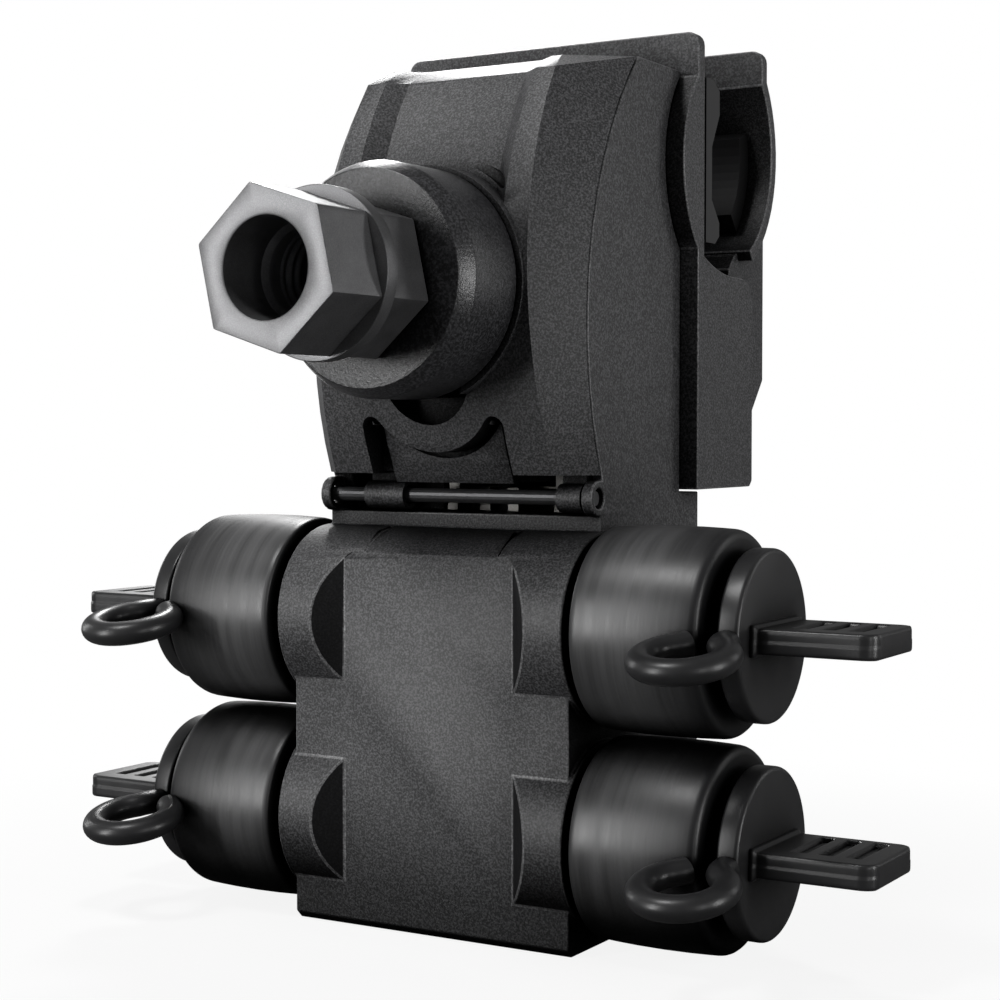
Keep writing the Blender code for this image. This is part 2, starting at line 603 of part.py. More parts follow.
def build_clamp_cover():
    straight_top = COVER_TOP - COVER_TOP_BEVEL
    levels = spread(COVER_BOTTOM, straight_top, COVER_LEVELS)
    sections = [(h, cover_section(h, 0.0, 0.0, 0.0)) for h in levels]
    top = cover_section(COVER_TOP, COVER_TOP_BEVEL * 1.2, 0.0, 0.0)
    sections.append((COVER_TOP, top))
    cover = loft("cover", sections)
    inside = spread(COVER_BOTTOM + COVER_SIDE_WALL, COVER_TOP - COVER_SIDE_WALL, COVER_LEVELS)
    hollow = [(h, cover_section(h, COVER_WALL, COVER_SIDE_WALL, 0.002)) for h in inside]
    cut(cover, loft("hollow", hollow))
    cut(cover, panel_recess())
    bolt_line = (0.0, 0.0, BOLT_HEIGHT)
    add(cover, rod("seat", SEAT_RADIUS, SEAT_FACE, face_depth(BOLT_HEIGHT) + COVER_WALL * 0.8, "Y",
                   bolt_line, 48))
    add(cover, rod("boss", COVER_BOSS_RADIUS, SEAT_FACE + 0.002, CORE_FRONT - FIT, "Y", bolt_line))
    for side in SIDES.values():
        cut(cover, crescent(side))
    notch_line = (0.0, 0.0, ARCH_HEIGHT)
    notch_back = face_depth(ARCH_HEIGHT) + COVER_WALL + 0.0005
    cut(cover, rod("notch", NOTCH_RADIUS, -0.02, notch_back, "Y", notch_line))
    slot_back = face_depth(COVER_BOTTOM) + COVER_WALL + 0.001
    cut(cover, prism("band_slot", arch_outline(), -0.02, slot_back, "Y"))
    cut(cover, tongue_recess())
    tongue = ARCH_HALF_WIDTH - ARCH_SLOT_WIDTH
    tip = []
    for height in (COVER_BOTTOM - TONGUE_DROP, COVER_BOTTOM + 0.001):
        front = face_depth(height) + TONGUE_DEPTH
        back = face_depth(height) + COVER_WALL
        tip.append((height, [(-tongue, front), (tongue, front), (tongue, back), (-tongue, back)]))
    add(cover, loft("tongue_tip", tip))
    right_end = BODY_HALF_WIDTH - BODY_LUG_LENGTH - FIT
    lugs = [(-COVER_LUG_START - COVER_LUG_LENGTH, -COVER_LUG_START),
            (right_end - COVER_LUG_SHORT, right_end)]
    add(cover, block("knuckle", (lugs[0][0] + 0.0001, KNUCKLE_FRONT, COVER_BOTTOM + 0.0002),
                     (right_end - 0.0001, KNUCKLE_BACK, KNUCKLE_TOP)))
    web = PIN_DEPTH + COVER_LUG_WEB_SETBACK
    top = math.degrees(math.acos(COVER_LUG_WEB_SETBACK / COVER_LUG_RADIUS))
    for low, high in lugs:
        # each lug is a cylinder round the pin, on a web that stands behind its front half
        outline = [(PIN_DEPTH + COVER_LUG_RADIUS, COVER_BOTTOM + 0.001), (web, COVER_BOTTOM + 0.001)]
        outline += arc((PIN_DEPTH, PIN_HEIGHT), COVER_LUG_RADIUS, top, 360.0, 14)
        add(cover, prism("lug", outline, low, high, "X"))
    cut(cover, rod("pin_hole", PIN_RADIUS + FIT, -0.02, 0.02, "X", (0.0, PIN_DEPTH, PIN_HEIGHT), 16))
    cut(cover, rod("bolt_hole", BOLT_HOLE_RADIUS, -0.02, 0.02, "Y", bolt_line))
    return finish(cover, "clamp_cover", PLASTIC)


def panel_recess():
    """Cutter for the shallow panel at the top of the cover, with slanted sides."""
    sections = []
    for height in spread(PANEL_RECESS_BOTTOM, PANEL_RECESS_TOP, 7):
        front = face_depth(height)
        outside = PANEL_RECESS_HALF + PANEL_RECESS_SLANT * 0.5
        floor = PANEL_RECESS_HALF - PANEL_RECESS_SLANT
        y_out = front - PANEL_RECESS_DEPTH * 0.5
        y_in = front + PANEL_RECESS_DEPTH
        sections.append((height, [(-outside, y_out), (outside, y_out), (floor, y_in), (-floor, y_in)]))
    return loft("panel_recess", sections)


def crescent(side):
    """Cutter for a leaf-shaped hollow above the collar, pointed at its upper end."""
    middle = CRESCENT_RADIUS + CRESCENT_WIDTH / 2.0
    outline = []
    for edge in (-1.0, 1.0):
        rim = []
        for i in range(13):
            share = i / 12.0
            lean = math.radians(CRESCENT_START + (CRESCENT_END - CRESCENT_START) * share)
            # the width grows evenly, then closes as a round end
            half = CRESCENT_WIDTH / 2.0 * min(share + 0.05, math.sqrt(max(1.0 - share ** 10, 0.02)))
            radius = middle + edge * half
            rim.append((side * radius * math.sin(lean), BOLT_HEIGHT + radius * math.cos(lean)))
        outline += rim if edge < 0 else list(reversed(rim))
    back = face_depth(BOLT_HEIGHT + middle) + CRESCENT_DEPTH
    return prism("crescent", outline, -0.02, back, "Y")


def tongue_recess():
    """Cutter that sets the tongue back behind the cover's face, at a constant depth."""
    tool = prism("arch", tongue_outline(), -0.02, 0.01, "Y")
    sections = []
    for height in spread(COVER_BOTTOM - 0.002, ARCH_HEIGHT, 6):
        depth = face_depth(height) + TONGUE_DEPTH
        wide = ARCH_HALF_WIDTH + 0.001
        sections.append((height, [(-wide, depth), (wide, depth), (wide, 0.02), (-wide, 0.02)]))
    cut(tool, loft("behind_tongue", sections))
    return tool


def build_hinge_pin():
    reach = BODY_HALF_WIDTH - PIN_RECESS
    pin = rod("pin", PIN_RADIUS, -reach, reach, "X", (0.0, PIN_DEPTH, PIN_HEIGHT), 16)
    return finish(pin, "hinge_pin", STEEL)


def build_thrust_collar():
    profile = [(THRUST_FRONT, BOLT_HOLE_RADIUS), (THRUST_FRONT, THRUST_FACE_RADIUS),
               (THRUST_FRONT + THRUST_CONE_LENGTH, THRUST_RADIUS), (THRUST_BACK, THRUST_RADIUS),
               (THRUST_BACK, BOLT_HOLE_RADIUS), (THRUST_FRONT, BOLT_HOLE_RADIUS)]
    shape = turned("thrust", profile, "Y", (0.0, 0.0, BOLT_HEIGHT), 56)
    return finish(shape, "thrust_collar", PLASTIC)


def build_shear_nut():
    """Outer hexagon that shears off, a thin flange, and the hexagon that stays."""
    flange_start = NUT_FRONT + NUT_OUTER_LENGTH
    flange_end = flange_start + NUT_FLANGE_LENGTH
    nut = prism("nut", hexagon(NUT_ACROSS, NUT_TURN), NUT_FRONT, NUT_BACK, "Y")
    line = (0.0, 0.0, BOLT_HEIGHT)
    add(nut, rod("flange", NUT_FLANGE_RADIUS, flange_start, flange_end, "Y", line, 48))
    floor = NUT_FRONT + NUT_BORE_DEPTH
    profile = [(NUT_FRONT - 0.001, 0.0), (NUT_FRONT - 0.001, NUT_BORE_RADIUS), (floor, NUT_BORE_RADIUS),
               (floor + NUT_STEP_LENGTH, NUT_THREAD_RADIUS), (NUT_BACK + 0.001, NUT_THREAD_RADIUS),
               (NUT_BACK + 0.001, 0.0)]
    cut(nut, turned("bore", profile, "Y", line, 40))
    return finish(nut, "shear_nut", NUT_METAL)


def build_clamp_bolt():
    tip = NUT_FRONT + BOLT_TIP_DEPTH
    head_end = BOLT_HEAD_BOTTOM + BOLT_HEAD_THICKNESS
    outline = hexagon(BOLT_HEAD_ACROSS, BOLT_HEAD_TURN)
    bolt = prism("bolt", outline, BOLT_HEAD_BOTTOM, head_end, "Y")
    chamfer = 0.0008
    profile = [(tip, 0.0), (tip, BOLT_RADIUS - chamfer), (tip + chamfer, BOLT_RADIUS),
               (BOLT_HEAD_BOTTOM + 0.001, BOLT_RADIUS), (BOLT_HEAD_BOTTOM + 0.001, 0.0)]
    add(bolt, turned("shank", profile, "Y", (0.0, 0.0, BOLT_HEIGHT), 32))
    return finish(bolt, "clamp_bolt", STEEL)


def wing_outline():
    """Side outline of a wing: its top dips to the channel's floor and its back corner is round."""
    start = CHANNEL_FLOOR + 0.0019
    outline = [(SADDLE_FRONT, SADDLE_BOTTOM), (WING_BACK - 0.0006, SADDLE_BOTTOM)]
    outline += [(WING_BACK, SADDLE_BOTTOM + 0.0006)]
    corner = (WING_BACK - WING_CORNER, CHANNEL_FLOOR - WING_CORNER)
    outline += arc(corner, WING_CORNER, 0.0, 90.0, 6)
    dip_front = SADDLE_BACK - 0.0005
    dip_back = WING_BACK - WING_CORNER - 0.0012
    for i in range(1, 7):
        share = i / 6.0
        depth = dip_back + (dip_front - dip_back) * share
        outline.append((depth, CHANNEL_FLOOR + (start - CHANNEL_FLOOR) * share ** 2.2))
    outline.append((SADDLE_FRONT, start))
    return outline


def saddle_outline():
    """Side outline of plate and trough. The trough's bulge fits the hollow in the body's back."""
    half = math.degrees(math.acos((TROUGH_CENTRE - SADDLE_FRONT) / TROUGH_RADIUS))
    centre = (TROUGH_CENTRE, TROUGH_HEIGHT)
    outline = [(SADDLE_BACK, SADDLE_BOTTOM), (SADDLE_BACK, SADDLE_TOP), (SADDLE_FRONT, SADDLE_TOP)]
    outline += arc(centre, TROUGH_RADIUS, 180.0 - half, 180.0 + half, 14)
    outline += [(SADDLE_FRONT, SADDLE_BOTTOM)]
    return outline


def top_corner(side, top):
    """Cutter that rounds an upper corner of the saddle's plate or of the hook."""
    width = SADDLE_HALF_WIDTH
    corner = (side * (width - SADDLE_CORNER), top - SADDLE_CORNER)
    outline = [(side * (width + 0.001), top + 0.001), (corner[0], top + 0.001)]
    outline += arc(corner, SADDLE_CORNER, 90.0, 90.0 - side * 90.0, 5)
    outline += [(side * (width + 0.001), corner[1])]
    return prism("corner", outline, 0.01, JAW_BACK + 0.002, "Y")


def build_front_saddle():
    width = SADDLE_HALF_WIDTH
    saddle = prism("saddle", saddle_outline(), -width, width, "X")
    for side in SIDES.values():
        low, high = span(side, width - WING_THICKNESS, width)
        add(saddle, prism("wing", wing_outline(), low, high, "X"))
    outer = CONTACT_OUTER + CONTACT_THICKNESS + FIT
    for side in SIDES.values():
        cut(saddle, side_block("arm_slot", side, (CONTACT_OUTER - FIT, outer), (0.005, 0.025),
                               (CONTACT_ARM_BOTTOM - FIT, CONTACT_ARM_TOP + FIT)))
        cut(saddle, top_corner(side, SADDLE_TOP))
    cut(saddle, rod("bolt_hole", BOLT_HOLE_RADIUS, 0.0, JAW_BACK, "Y", (0.0, 0.0, BOLT_HEIGHT)))
    return finish(saddle, "front_saddle", PLASTIC)


def build_front_seal():
    """Pad with a flat back and two soft lips that run along the channel."""
    front = SADDLE_BACK + FIT
    face = front + FRONT_SEAL_THICKNESS
    lip = face + SEAL_LIP
    low = FRONT_SEAL_BOTTOM
    high = FRONT_SEAL_TOP
    outline = [(front, low), (face + 0.0008, low), (lip, low + 0.0008), (lip, low + 0.0022)]
    outline += [(face, low + 0.0044), (face, high - 0.0068), (lip, high - 0.0034)]
    outline += [(lip, high - 0.0010), (face + 0.0002, high), (front, high)]
    width = SADDLE_HALF_WIDTH
    seal = prism("seal", outline, -width, width, "X")
    outer = CONTACT_OUTER + CONTACT_THICKNESS + FIT
    for side in SIDES.values():
        cut(seal, side_block("arm_slot", side, (CONTACT_OUTER - FIT, outer), (0.005, 0.03),
                             (CONTACT_ARM_BOTTOM - FIT, CONTACT_ARM_TOP + FIT)))
    return finish(seal, "front_seal", SOFT)


def hook_outline():
    """Side outline of the hook: a round trough wall of even thickness, straight at its top."""
    inner = arc(JAW_TROUGH_CENTRE, JAW_TROUGH_RADIUS, JAW_HOOK_START, JAW_HOOK_END, 14)
    back = inner[-1][0] + JAW_HOOK_WALL
    outside = JAW_TROUGH_RADIUS + JAW_HOOK_WALL
    lean = math.degrees(math.acos((back - JAW_TROUGH_CENTRE[0]) / outside))
    outer = arc(JAW_TROUGH_CENTRE, outside, lean, JAW_HOOK_START, 14)
    return inner + [(inner[-1][0], JAW_TOP), (back, JAW_TOP)] + outer


def build_rear_jaw():
    chamfer = JAW_CHAMFER
    foot = [(JAW_FRONT, JAW_BOTTOM), (JAW_BACK - chamfer, JAW_BOTTOM)]
    foot += [(JAW_BACK, JAW_BOTTOM + chamfer * 1.2), (JAW_BACK, JAW_TROUGH_CENTRE[1] - JAW_SHOULDER)]
    # the foot's back runs up behind the hook and meets it half way through its wall
    foot += arc(JAW_TROUGH_CENTRE, JAW_TROUGH_RADIUS + JAW_HOOK_WALL / 2.0, -2.0, JAW_HOOK_START + 2.0, 10)
    foot += [(JAW_FRONT + 0.0016, JAW_HOOK_BOTTOM + 0.0006), (JAW_FRONT, JAW_HOOK_BOTTOM - 0.001)]
    jaw = prism("jaw", foot, -JAW_HALF_WIDTH, JAW_HALF_WIDTH, "X")
    width = SADDLE_HALF_WIDTH
    add(jaw, prism("hook", hook_outline(), -width, width, "X"))
    pocket = hexagon(BOLT_HEAD_ACROSS + 2.0 * FIT, BOLT_HEAD_TURN)
    for side in SIDES.values():
        cut(jaw, top_corner(side, JAW_TOP))
    cut(jaw, prism("head_pocket", pocket, BOLT_SEAT, JAW_BACK + 0.002, "Y"))
    cut(jaw, rod("bolt_hole", BOLT_HOLE_RADIUS, SADDLE_BACK, JAW_BACK + 0.002, "Y", (0.0, 0.0, BOLT_HEIGHT)))
    inner = BOLT_HEAD_ACROSS / math.sqrt(3.0) + JAW_POCKET_WALL
    for side in SIDES.values():
        x_span = (inner, JAW_HALF_WIDTH - JAW_POCKET_WALL)
        z_span = (JAW_BOTTOM + chamfer * 1.2, JAW_HOOK_BOTTOM - JAW_POCKET_WALL)
        cut(jaw, side_block("core_out", side, x_span, (BOLT_SEAT, JAW_BACK + 0.002), z_span))
    return finish(jaw, "rear_jaw", PLASTIC)


def build_rear_seal():
    outer = arc(JAW_TROUGH_CENTRE, JAW_TROUGH_RADIUS - FIT, REAR_SEAL_START, REAR_SEAL_END, 10)
    inner = arc(JAW_TROUGH_CENTRE, JAW_TROUGH_RADIUS - FIT - REAR_SEAL_THICKNESS,
                REAR_SEAL_END - 2.0, REAR_SEAL_START + 2.0, 10)
    seal = prism("seal", outer + inner, -REAR_SEAL_HALF_WIDTH, REAR_SEAL_HALF_WIDTH, "X")
    return finish(seal, "rear_seal", SOFT)


def flange_outline(top_arm):
    """Side outline of a contact's flange, with teeth into both ports and, if tall, the channel."""
    outline = [(CONTACT_BACK, CONTACT_BOTTOM), (CONTACT_FRONT, CONTACT_BOTTOM)]
    root = TAP_TOOTH_TIP + TOOTH_HEIGHT
    half = TAP_TOOTH_PITCH * TAP_TOOTH_COUNT / 2.0
    for height in sorted(PORT_HEIGHTS.values()):
        outline.append((CONTACT_FRONT, height - half))
        outline += tooth_row(root, TAP_TOOTH_TIP, height - half, TAP_TOOTH_PITCH, TAP_TOOTH_COUNT)
        outline.append((CONTACT_FRONT, height + half))
    if not top_arm:
        return outline + [(CONTACT_FRONT, CONTACT_LOW_TOP), (CONTACT_BACK, CONTACT_LOW_TOP)]
    low = CONTACT_ARM_BOTTOM
    pitch = (CONTACT_ARM_TOP - low) / TOOTH_COUNT
    outline += [(CONTACT_FRONT + 0.0016, CONTACT_LOW_TOP), (CONTACT_FRONT + 0.0016, CONTACT_ARM_TOP)]
    teeth = tooth_row(CONTACT_TIP - TOOTH_HEIGHT, CONTACT_TIP, low, pitch, TOOTH_COUNT)
    return outline + list(reversed(teeth)) + [(CONTACT_BACK, low)]


def build_contact(name, side):
    """Folded plate: a web behind the ports and two flanges that run forward from it."""
    low, high = span(side, CONTACT_OUTER, CONTACT_OUTER + CONTACT_THICKNESS)
    contact = prism("flange", flange_outline(True), low, high, "X")
    low, high = span(side, CONTACT_INNER, CONTACT_INNER + CONTACT_THICKNESS)
    add(contact, prism("flange", flange_outline(False), low, high, "X"))
    add(contact, side_block("web", side, (CONTACT_INNER, CONTACT_OUTER + CONTACT_THICKNESS),
                            (CONTACT_BACK - CONTACT_THICKNESS, CONTACT_BACK),
                            (CONTACT_BOTTOM, CONTACT_LOW_TOP)))
    return finish(contact, name, COPPER)


def build_boot(name, side, height):
    """Rubber sleeve: it grips the spigot and narrows to a mouth for the plug or the cable."""
    shoulder = BOOT_END - BOOT_LIP_LENGTH
    inside = SPIGOT_RADIUS + FIT
    edge = arc((BOOT_END - BOOT_EDGE, BOOT_RADIUS - BOOT_EDGE), BOOT_EDGE, 90.0, 0.0, 4)
    profile = [(BOOT_START, inside), (BOOT_START, BOOT_RADIUS - 0.0003), (BOOT_START + 0.0003, BOOT_RADIUS)]
    profile += edge
    profile += [(BOOT_END, BOOT_MOUTH_RADIUS), (shoulder, BOOT_MOUTH_RADIUS), (shoulder, inside)]
    profile += [(BOOT_START, inside)]
    boot = turned("boot", profile, "X", (0.0, 0.0, height), 44)
    if side < 0:
        mirror_x(boot)
    return finish(boot, name, RUBBER)


def tab_outline(start, end):
    """Top view of the pull tab, with rounded outer corners."""
    half = TAB_HALF_WIDTH
    corner = TAB_CORNER
    outline = [(start, -half)]
    outline += arc((end - corner, -half + corner), corner, 270.0, 360.0, 4)
    outline += arc((end - corner, half - corner), corner, 0.0, 90.0, 4)
    outline += [(start, half)]
    return outline


def build_plug(name, side, height):
    disc_start = BOOT_END + PLUG_GAP
    disc_end = disc_start + PLUG_DISC_THICKNESS
    stem_radius = BOOT_MOUTH_RADIUS - FIT
    stem_start = disc_start - PLUG_STEM_LENGTH
    edge = PLUG_DISC_EDGE
    profile = [(stem_start, 0.0), (stem_start, stem_radius - edge), (stem_start + edge, stem_radius),
               (disc_start, stem_radius), (disc_start, PLUG_DISC_RADIUS - edge),
               (disc_start + edge, PLUG_DISC_RADIUS), (disc_end - edge, PLUG_DISC_RADIUS),
               (disc_end, PLUG_DISC_RADIUS - edge), (disc_end, 0.0)]
    plug = turned("plug", profile, "X", (0.0, 0.0, height), 40)
    tab_start = disc_end - 0.0005
    tab_end = disc_end + TAB_LENGTH
    half = TAB_THICKNESS / 2.0
    add(plug, prism("tab", tab_outline(tab_start, tab_end), height - half, height + half, "Z"))
    first = tab_end - TAB_CORNER - TAB_RIB_WIDTH / 2.0 - 0.0016
    for i in range(TAB_RIB_COUNT):
        middle = first - i * TAB_RIB_PITCH
        low = (middle - TAB_RIB_WIDTH / 2.0, -TAB_RIB_HALF_LENGTH, height - half - TAB_RIB_HEIGHT)
        high = (middle + TAB_RIB_WIDTH / 2.0, TAB_RIB_HALF_LENGTH, height + half + TAB_RIB_HEIGHT)
        add(plug, block("rib", low, high))
    if side < 0:
        mirror_x(plug)
    return finish(plug, name, RUBBER)


def tether_path(height):
    """Centre line of a tether: out of the boot's rim, round the loop and back to the disc's edge."""
    half = TETHER_LEG_SPACING / 2.0
    opening = math.degrees(math.asin(half / TETHER_LOOP_RADIUS))
    boot_leg = BOOT_END - 0.0006
    centre_x = boot_leg + half
    start_y = -(BOOT_RADIUS + FIT)
    centre_y = start_y - TETHER_LOOP_RADIUS * math.cos(math.radians(opening)) - 0.0003
    loop = arc((centre_x, centre_y), TETHER_LOOP_RADIUS, 90.0 + opening, 450.0 - opening, 20)
    disc_x = BOOT_END + PLUG_GAP + PLUG_DISC_THICKNESS / 2.0
    end_y = -(PLUG_DISC_RADIUS + FIT)
    flat = [(boot_leg, start_y)] + loop + [(disc_x, end_y)]
    far = start_y - (centre_y - TETHER_LOOP_RADIUS)
    return [(x, y, height - TETHER_DROOP * max(0.0, start_y - y) / far) for x, y in flat]


def build_tether(name, side, height):
    points = tether_path(height)
    curve = bpy.data.curves.new(name, "CURVE")
    curve.dimensions = "3D"
    curve.bevel_depth = TETHER_RADIUS
    curve.bevel_resolution = 2
    curve.use_fill_caps = True
    spline = curve.splines.new("POLY")
    spline.points.add(len(points) - 1)
    for point, place in zip(spline.points, points):
        point.co = (side * place[0], place[1], place[2], 1.0)
    holder = bpy.data.objects.new(name, curve)
    bpy.context.collection.objects.link(holder)
    bpy.context.view_layer.update()
    graph = bpy.context.evaluated_depsgraph_get()
    mesh = bpy.data.meshes.new_from_object(holder.evaluated_get(graph))
    bpy.data.objects.remove(holder, do_unlink=True)
    bm = bmesh.new()
    bm.from_mesh(mesh)
    tether = to_object(bm, name)
    return finish(tether, name, RUBBER)


def build():
    clear_scene()
    build_tap_block()
    build_clamp_cover()
    build_hinge_pin()
    build_thrust_collar()
    build_shear_nut()
    build_clamp_bolt()
    build_front_saddle()
    build_front_seal()
    build_rear_jaw()
    build_rear_seal()
    for side_name, side in SIDES.items():
        build_contact(f"contact_{side_name}", side)
        for row_name, height in PORT_HEIGHTS.items():
            build_boot(f"port_boot_{row_name}_{side_name}", side, height)
            build_plug(f"port_plug_{row_name}_{side_name}", side, height)
            build_tether(f"plug_tether_{row_name}_{side_name}", side, height)


build()
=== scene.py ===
import bpy
import bmesh
import math
import numpy as np
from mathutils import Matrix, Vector


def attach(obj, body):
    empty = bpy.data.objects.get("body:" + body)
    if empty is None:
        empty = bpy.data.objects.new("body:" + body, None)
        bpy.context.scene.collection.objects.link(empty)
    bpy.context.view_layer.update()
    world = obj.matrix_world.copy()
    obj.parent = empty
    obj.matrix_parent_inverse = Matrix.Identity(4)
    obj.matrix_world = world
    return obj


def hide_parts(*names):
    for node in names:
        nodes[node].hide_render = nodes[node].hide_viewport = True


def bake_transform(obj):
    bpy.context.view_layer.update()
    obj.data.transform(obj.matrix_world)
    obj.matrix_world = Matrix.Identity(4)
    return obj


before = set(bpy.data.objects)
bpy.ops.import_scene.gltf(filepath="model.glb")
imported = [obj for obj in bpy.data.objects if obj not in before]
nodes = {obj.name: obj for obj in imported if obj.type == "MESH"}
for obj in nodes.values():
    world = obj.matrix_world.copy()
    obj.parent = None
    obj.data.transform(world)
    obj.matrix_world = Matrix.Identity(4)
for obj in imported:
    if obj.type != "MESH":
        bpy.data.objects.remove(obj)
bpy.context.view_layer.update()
mm = 0.001
touching = 1e-7  # metres; closer vertices are one
print("packed model loaded:", len(nodes), "nodes")


# small helpers for surfaces
def welded(mesh, reach, between=None):
    # vertices closer than reach become one, between(bm) may do more, then every face is turned outwards
    bm = bmesh.new()
    bm.from_mesh(mesh)
    bmesh.ops.remove_doubles(bm, verts=bm.verts, dist=reach)
    if between:
        between(bm)
    bmesh.ops.recalc_face_normals(bm, faces=bm.faces)
    bm.to_mesh(mesh)
    bm.free()
    return mesh


def shaded(mesh, sharp):
    # smooth, but for edges sharper than this angle in degrees
    mesh.shade_smooth()
    mesh.set_sharp_from_angle(angle=math.radians(sharp))
    return mesh


def gridMesh(name, points, wrapRows=False, wrapColumns=True, caps=(), sharp=38.0):
    # points[row, column] are joined to their neighbours as quads; a cap closes a first or last row
    rows, columns = points.shape[:2]
    r = np.arange(rows if wrapRows else rows - 1)[:, None]
    c = np.arange(columns if wrapColumns else columns - 1)[None, :]
    here, ahead = r * columns, (r + 1) % rows * columns
    cNext = (c + 1) % columns
    quads = np.stack([here + c, here + cNext, ahead + cNext, ahead + c], -1)
    faces = quads.reshape(-1, 4).tolist()
    if "first" in caps:
        faces.append(list(range(columns)))
    if "last" in caps:
        faces.append(list(range((rows - 1) * columns, rows * columns)))
    mesh = bpy.data.meshes.new(name)
    mesh.from_pydata(points.reshape(-1, 3).tolist(), [], faces)
    return shaded(welded(mesh, touching), sharp)


def addPiece(name, mesh, body, material, replaced=()):
    piece = bpy.data.objects.new(name, mesh)
    bpy.context.scene.collection.objects.link(piece)
    mesh.materials.clear()
    mesh.materials.append(material)
    if body:
        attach(piece, body)
    if replaced:
        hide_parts(*replaced)
    return piece


def joinMeshes(name, meshes):
    # several closed shells kept in one mesh
    bm = bmesh.new()
    for mesh in meshes:
        bm.from_mesh(mesh)
    made = bpy.data.meshes.new(name)
    bm.to_mesh(made)
    bm.free()
    return made


def roundLine(points, radius, steps=4, closed=False):
    # each corner becomes a parabola between two points that lie radius away from it along its sides
    points = np.asarray(points, float)
    count = len(points)
    radius = np.broadcast_to(np.asarray(radius, float), (count,))
    longest = 0.48  # share of a side that one corner may take
    s = np.linspace(0.0, 1.0, steps + 1)[:, None]
    out = []
    for i in range(count):
        corner = points[i]
        if not closed and i in (0, count - 1) or radius[i] <= 0:
            out.append(corner[None, :])
            continue
        before, after = points[i - 1] - corner, points[(i + 1) % count] - corner
        lengths = np.linalg.norm(before), np.linalg.norm(after)
        reach = min(radius[i], longest * lengths[0], longest * lengths[1])
        a = corner + before / lengths[0] * reach
        b = corner + after / lengths[1] * reach
        out.append((1 - s) ** 2 * a + 2 * s * (1 - s) * corner + s ** 2 * b)
    return np.concatenate(out)


def arcLine(centre, radius, start, end, steps):
    # points on a circle between two angles in degrees
    a = np.radians(np.linspace(start, end, steps + 1))
    return np.stack([centre[0] + radius * np.cos(a), centre[1] + radius * np.sin(a)], -1)


def turnedMesh(name, profile, centre, axis, segments, ring=True, sharp=38.0):
    # a profile of (along, radius) turned about an axis: across = radius sin a, up = radius cos a
    profile = np.asarray(profile, float)
    a = np.linspace(0, math.tau, segments, endpoint=False)
    along = np.repeat(profile[:, :1], segments, 1)
    across, up = profile[:, 1:] * np.sin(a), profile[:, 1:] * np.cos(a)
    parts = [along, across, up] if axis == "X" else [across, along, up]
    points = np.stack(parts, -1) + np.asarray(centre, float)
    return gridMesh(name, points, wrapRows=ring, caps=() if ring else ("first", "last"), sharp=sharp)


# small helpers for nodes; tree is a material's, world's or group's node tree
def mathNode(tree, operation, *values):
    # each value is a float or another node's output
    node = tree.nodes.new("ShaderNodeMath")
    node.operation = operation
    for socket, value in zip(node.inputs, values):
        if isinstance(value, float):
            socket.default_value = value
        else:
            tree.links.new(value, socket)
    return node.outputs[0]


def rangeNode(tree, value, low, high, fromLow=0.0, fromHigh=1.0):
    # carries fromLow to fromHigh over to low to high, and stops at both ends
    node = tree.nodes.new("ShaderNodeMapRange")
    tree.links.new(value, node.inputs["Value"])
    for key, number in (("From Min", fromLow), ("From Max", fromHigh), ("To Min", low), ("To Max", high)):
        node.inputs[key].default_value = number
    return node.outputs["Result"]


def noiseNode(tree, place, sizeMm, detail, roughness):
    # noise with features about sizeMm wide, where place is in metres
    node = tree.nodes.new("ShaderNodeTexNoise")
    node.inputs["Detail"].default_value = detail
    node.inputs["Roughness"].default_value = roughness
    tree.links.new(place, node.inputs["Vector"])
    tree.links.new(mathNode(tree, "DIVIDE", 1.0 / mm, sizeMm), node.inputs["Scale"])
    return node.outputs["Fac"]


# effects that several finishes share
def socketed(groupName, inputs, outputs):
    # a group with named number sockets; inputs are pairs of name and usual value
    group = bpy.data.node_groups.new(groupName, "ShaderNodeTree")
    for name, value in inputs:
        socket = group.interface.new_socket(name, in_out="INPUT", socket_type="NodeSocketFloat")
        socket.default_value = value
    for name in outputs:
        group.interface.new_socket(name, in_out="OUTPUT", socket_type="NodeSocketFloat")
    return group, group.nodes.new("NodeGroupInput"), group.nodes.new("NodeGroupOutput")


def mouldGrainGroup():
    # fine spark-eroded mould grain: fine noise gives height and speckle, lighter specks that are partly the grain's
    # own tone and partly painted glints, broad noise gives mottle
    group, given, out = socketed(
        "mouldGrain",
        [("Grain Size mm", 0.16), ("Speckle", 0.5), ("Mottle Size mm", 3.0)],
        ["Height", "Speckle", "Mottle"],
    )
    place = group.nodes.new("ShaderNodeTexCoord").outputs["Object"]
    fine = noiseNode(group, place, given.outputs["Grain Size mm"], detail=2.0, roughness=0.6)
    broad = noiseNode(group, place, given.outputs["Mottle Size mm"], detail=4.0, roughness=0.6)
    dots = rangeNode(group, fine, 0.0, 1.0, 0.42, 0.66)
    lit = mathNode(group, "MULTIPLY", dots, given.outputs["Speckle"])
    for name, value in (("Height", fine), ("Speckle", lit), ("Mottle", broad)):
        group.links.new(value, out.inputs[name])
    return group


